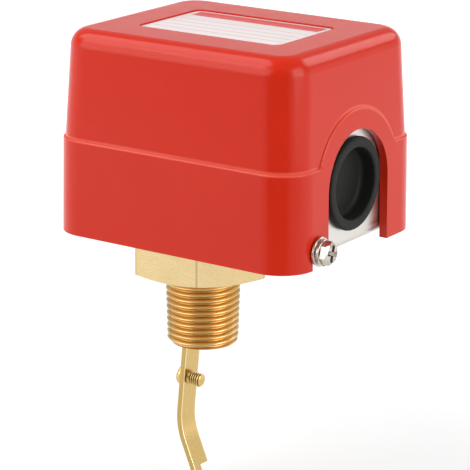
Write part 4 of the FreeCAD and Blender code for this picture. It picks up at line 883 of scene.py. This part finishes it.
def paddle_fixing():
    """The screw through the paddle arm: a full, domed and slotted head, a plain shank in the
    arm's hole, and a free thread beyond it."""
    stud = MOUNTS["paddle_stud"]
    axis = Vector(stud["axis"])
    low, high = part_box("paddle_screw")
    length = stud["dims"]["length_mm"] * MM
    bevel, head, through, soft = 0.4 * MM, 2.5 * MM, 1.9 * MM, 0.15 * MM
    thread = length + bevel
    tip = Vector(stud["pos_m"]) + axis * (length / 2 + bevel)
    radius, side = (high.y - low.y) / 2, 0.45 * head
    crown = [
        (radius * across, side + (head - side) * up) for across, up in arc((0, 0), 1.0, 0, 90, 8)
    ]
    blank, shape = bmesh.new(), bmesh.new()
    foot = [(0.0, 0.0), (radius - soft, 0.0), (radius, soft)]
    polar_solid(blank, foot + crown, even_angles(48))
    place = facing(tip - axis * (thread + through), -axis, 0.5)
    half_slot, slot_depth = 0.4 * MM, 0.9 * MM
    cut_slot(shape, blank, half_slot, head - slot_depth, place)
    spin = facing(tip, -axis)
    shank_end = thread + through + 0.2 * MM
    polar_solid(shape, [
        (0.0, thread), (STUD_RADIUS - soft, thread), (STUD_RADIUS, thread + soft),
        (STUD_RADIUS, shank_end), (0.0, shank_end),
    ], even_angles(40), spin)
    threaded_stud(shape, STUD_RADIUS, M4_PITCH, 0.0, thread + 0.1 * MM, spin, 40, 0.35 * MM)
    fixing = finish_mesh("paddle_screw_threaded", shape, 50.0)
    stand_for(fixing, "arm_brass", "paddle_screw")
    fixing.data.materials.append(MATERIALS["stud"])
    for face in fixing.data.polygons:
        beyond = (face.center - tip).dot(-axis)
        if bevel / 2 < beyond < thread:
            face.material_index = 1


# ----------------------------------------------------------------------------- fine pieces

def label():
    """The printed label as a padded plate that nearly fills its recess."""
    low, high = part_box("label_plate")
    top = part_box("cover")[1].z - 0.4 * MM
    middle, corner, soft = (low + high) / 2, 2.25 * MM, 0.15 * MM
    half_x, half_y = (high.x - low.x) / 2, (high.y - low.y) / 2

    def outline(inset, height):
        points = []
        for quarter, (side_x, side_y) in enumerate(((1, 1), (-1, 1), (-1, -1), (1, -1))):
            centre = (middle.x + side_x * (half_x - corner), middle.y + side_y * (half_y - corner))
            points += [
                Vector((x, y, height))
                for x, y in arc(centre, corner - inset, 90 * quarter, 90 * quarter + 90, 8)
            ]
        return points

    shape = bmesh.new()
    levels = (
        (soft, low.z), (0.0, low.z + soft), (0.0, top - soft),
        (0.3 * soft, top - 0.3 * soft), (soft, top),
    )
    capped_rings(shape, [add_ring(shape, outline(*level), Matrix()) for level in levels])
    stand_for(finish_mesh("label_padded", shape), "label", "label_plate")


def flat_washers():
    """The two plain washers under the cover screws, with soft edges."""
    shape = bmesh.new()
    for low, high in solid_boxes("cover_flat_washers"):
        size, middle = high - low, (low + high) / 2
        outward = TO_CABLE if middle.x > 0 else -TO_CABLE
        half, outer, inner, soft = size.x / 2, size.z / 2, 2.15 * MM, 0.15 * MM
        polar_solid(shape, [
            (inner, -half), (outer - soft, -half), (outer, soft - half), (outer, half - soft),
            (outer - soft, half), (inner + soft, half), (inner, half - soft),
        ], even_angles(56), facing(middle, outward), closed=True)
    stand_for(finish_mesh("cover_flat_washers_soft", shape), "nickel", "cover_flat_washers")


def split_washers():
    """The two spring washers: square wire, cut through and slightly sprung open."""
    shape = bmesh.new()
    for number, (low, high) in enumerate(solid_boxes("cover_spring_washers")):
        size, middle = high - low, (low + high) / 2
        outward = TO_CABLE if middle.x > 0 else -TO_CABLE
        half, outer, inner = size.x / 2, size.z / 2, 2.1 * MM
        place = facing(middle, outward, 2.2 - 1.6 * number)
        soft, opening, spring = 0.14 * MM, math.radians(5.0), 0.12 * MM
        section = [
            (inner + soft, -half), (outer - soft, -half), (outer, soft - half),
            (outer, half - soft), (outer - soft, half), (inner + soft, half),
            (inner, half - soft), (inner, soft - half),
        ]
        steps, squeeze = 56, 1.0 - spring / (2 * half)
        rings = []
        for step in range(steps + 1):
            share = step / steps
            angle = opening + (2 * math.pi - 2 * opening) * share
            lift = spring * (share - 0.5)
            rings.append([shape.verts.new(place @ Vector((
                reach * math.cos(angle), reach * math.sin(angle), rise * squeeze + lift,
            ))) for reach, rise in section])
        capped_rings(shape, rings)
    piece = finish_mesh("cover_spring_washers_split", shape)
    stand_for(piece, "nickel", "cover_spring_washers")


def grommet():
    """The blind rubber grommet: a rounded rim round a dished membrane, and a groove behind
    that holds the frame's plate."""
    low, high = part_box("conduit_grommet")
    middle = (low + high) / 2
    place = facing(Vector((0.0, middle.y, middle.z)), TO_CABLE)
    face, back = high.x, low.x
    outer = (high.y - low.y) / 2
    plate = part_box("base_frame")[1].x
    inside = plate - 1.5 * MM
    hole, dish = 10.95 * MM, 9.7 * MM
    floor = face - 4.4 * MM
    rim = 0.75 * MM
    under = floor - 1.0 * MM
    profile = [(0.0, under), (dish - 1.2 * MM, under), (dish, back + 0.1 * MM)]
    profile += arc((outer - 1.2 * MM, back + 0.5 * MM), 0.5 * MM, -90, 0, 4)
    profile += [(outer - 0.5 * MM, inside), (hole, inside), (hole, plate)]
    profile += [(outer - 0.1 * MM, plate)]
    profile += arc((outer - rim, face - rim), rim, 0, 90, 6)
    profile += arc((dish + 0.7 * MM, face - 0.6 * MM), 0.6 * MM, 90, 180, 5)
    profile += arc((dish - 1.7 * MM, floor + 1.5 * MM), 1.5 * MM, 0, -90, 6)
    profile += [(dish * 0.45, floor - 0.05 * MM), (0.0, floor - 0.12 * MM)]
    shape = bmesh.new()
    polar_solid(shape, profile, even_angles(96), place)
    piece = finish_mesh("conduit_grommet_moulded", shape, 60.0)
    stand_for(piece, "rubber", "conduit_grommet")


def helix_tube(shape, start, end, radius, wire, turns, first, last):
    """Part of a coil along X, between two shares of its length, closed at its ends."""
    steps, sides = int(36 * turns * (last - first)), 12
    rings = []
    for step in range(steps + 1):
        share = first + (last - first) * step / steps
        angle = 2 * math.pi * turns * share
        outward = Vector((0.0, math.cos(angle), math.sin(angle)))
        centre = start.lerp(end, share) + outward * radius
        ring = []
        for side in range(sides):
            bend = 2 * math.pi * side / sides
            out, along = outward * wire * math.cos(bend), TO_CABLE * wire * math.sin(bend)
            ring.append(shape.verts.new(centre + out + along))
        rings.append(ring)
    capped_rings(shape, rings)


def range_spring():
    """The coil, as two halves, each built in place and attached to no body."""
    low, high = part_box("range_spring")
    wire, radius, turns = 0.4 * MM, 3.2 * MM, 4.5
    screw_low, screw_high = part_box("range_screw")
    height = (screw_low.z + screw_high.z) / 2
    start = Vector((low.x + wire, 0.0, height))
    end = Vector((high.x - wire, 0.0, height))
    halves = (("seat", 0.0, 0.5, "spring_seat", start), ("lever", 0.5, 1.0, "lever", end))
    for name, first, last, body, anchor in halves:
        shape = bmesh.new()
        helix_tube(shape, start, end, radius, wire, turns, first, last)
        half = finish_mesh(f"range_spring_{name}_half", shape, 60.0)
        half.data.materials.append(MATERIALS["spring_steel"])
        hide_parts("range_spring")
        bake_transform(half)


def bellows():
    """The thin corrugated tube, from the flange down to the cap on the leaning rod."""
    low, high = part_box("bellows")
    cap_low, cap_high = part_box("bellows_cap")
    foot_centre = (cap_low.x + cap_high.x) / 2
    top = Vector((0.0, 0.0, high.z))
    foot = Vector((foot_centre, 0.0, low.z))
    folds, steps = 4, 60
    neck, wave, wall = 6.2 * MM, 0.95 * MM, 0.25 * MM
    angles = even_angles(72)

    def tube(inset):
        rings = []
        for step in range(steps + 1):
            share = step / steps
            middle = foot.lerp(top, share)
            ends = min(1.0, 8 * share, 8 * (1 - share))
            swell = wave * ends * (0.55 - math.cos(2 * math.pi * folds * share))
            ring = polar_ring(angles, neck + swell * 0.9 - inset, 0.0)
            rings.append([point + middle for point in ring])
        return rings

    shape = bmesh.new()
    rings = tube(0.0) + list(reversed(tube(wall)))
    made = [add_ring(shape, ring, Matrix()) for ring in rings]
    for before, after in zip(made, made[1:] + made[:1]):
        join_rings(shape, before, after)
    piece = finish_mesh("bellows_corrugated", shape, 80.0)
    piece.data.materials.append(MATERIALS["bellows_brass"])
    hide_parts("bellows")
    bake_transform(piece)


def range_screw():
    """The adjusting screw with its thread and slotted head."""
    low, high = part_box("range_screw")
    height = (low.z + high.z) / 2
    head, half_slot, slot_depth = 1.95 * MM, 0.45 * MM, 0.9 * MM
    place = facing(Vector((low.x + head, 0.0, height)), -TO_CABLE, 0.6)
    shape = bmesh.new()
    slotted_head(shape, (high.z - low.z) / 2, head, half_slot, slot_depth, place)
    inner_end = low.x + head - high.x
    threaded_stud(shape, M4_RADIUS, M4_PITCH, inner_end, 0.2 * MM, place, 32, 0.4 * MM)
    stand_for(finish_mesh("range_screw_threaded", shape, 50.0), "arm_brass", "range_screw")


# ----------------------------------------------------------------------------- the scene

bpy.context.scene.view_settings.view_transform = "Standard"
dress_nodes()
studio_world()
for lamp_settings in LAMPS:
    softbox(*lamp_settings)
pale_floor()
photo_camera()

pipe_body()
paddle_fixing()
screws(
    "cover_screws", "nickel", [-TO_CABLE, TO_CABLE], COVER_HEAD, M4_RADIUS, M4_PITCH,
    hexagonal=True, recess=0.68,
)
label()
flat_washers()
split_washers()
grommet()
range_spring()
bellows()
range_screw()
for screw_node, screw_slot, screw_axis in (
    ("body_screws", "zinc_screw", UP),
    ("range_bracket_screws", "zinc_screw", UP),
    ("switch_bracket_screws", "zinc_screw", UP),
    ("ground_screw", "ground_green", UP),
    ("microswitch_screws", "zinc_screw", -TO_CABLE),
):
    screws(screw_node, screw_slot, [screw_axis], FRAME_HEAD, M4_FRAME_RADIUS, M4_PITCH)
screws("terminal_screws", "zinc_screw", [UP], TERMINAL_HEAD, M3_RADIUS, M3_PITCH)
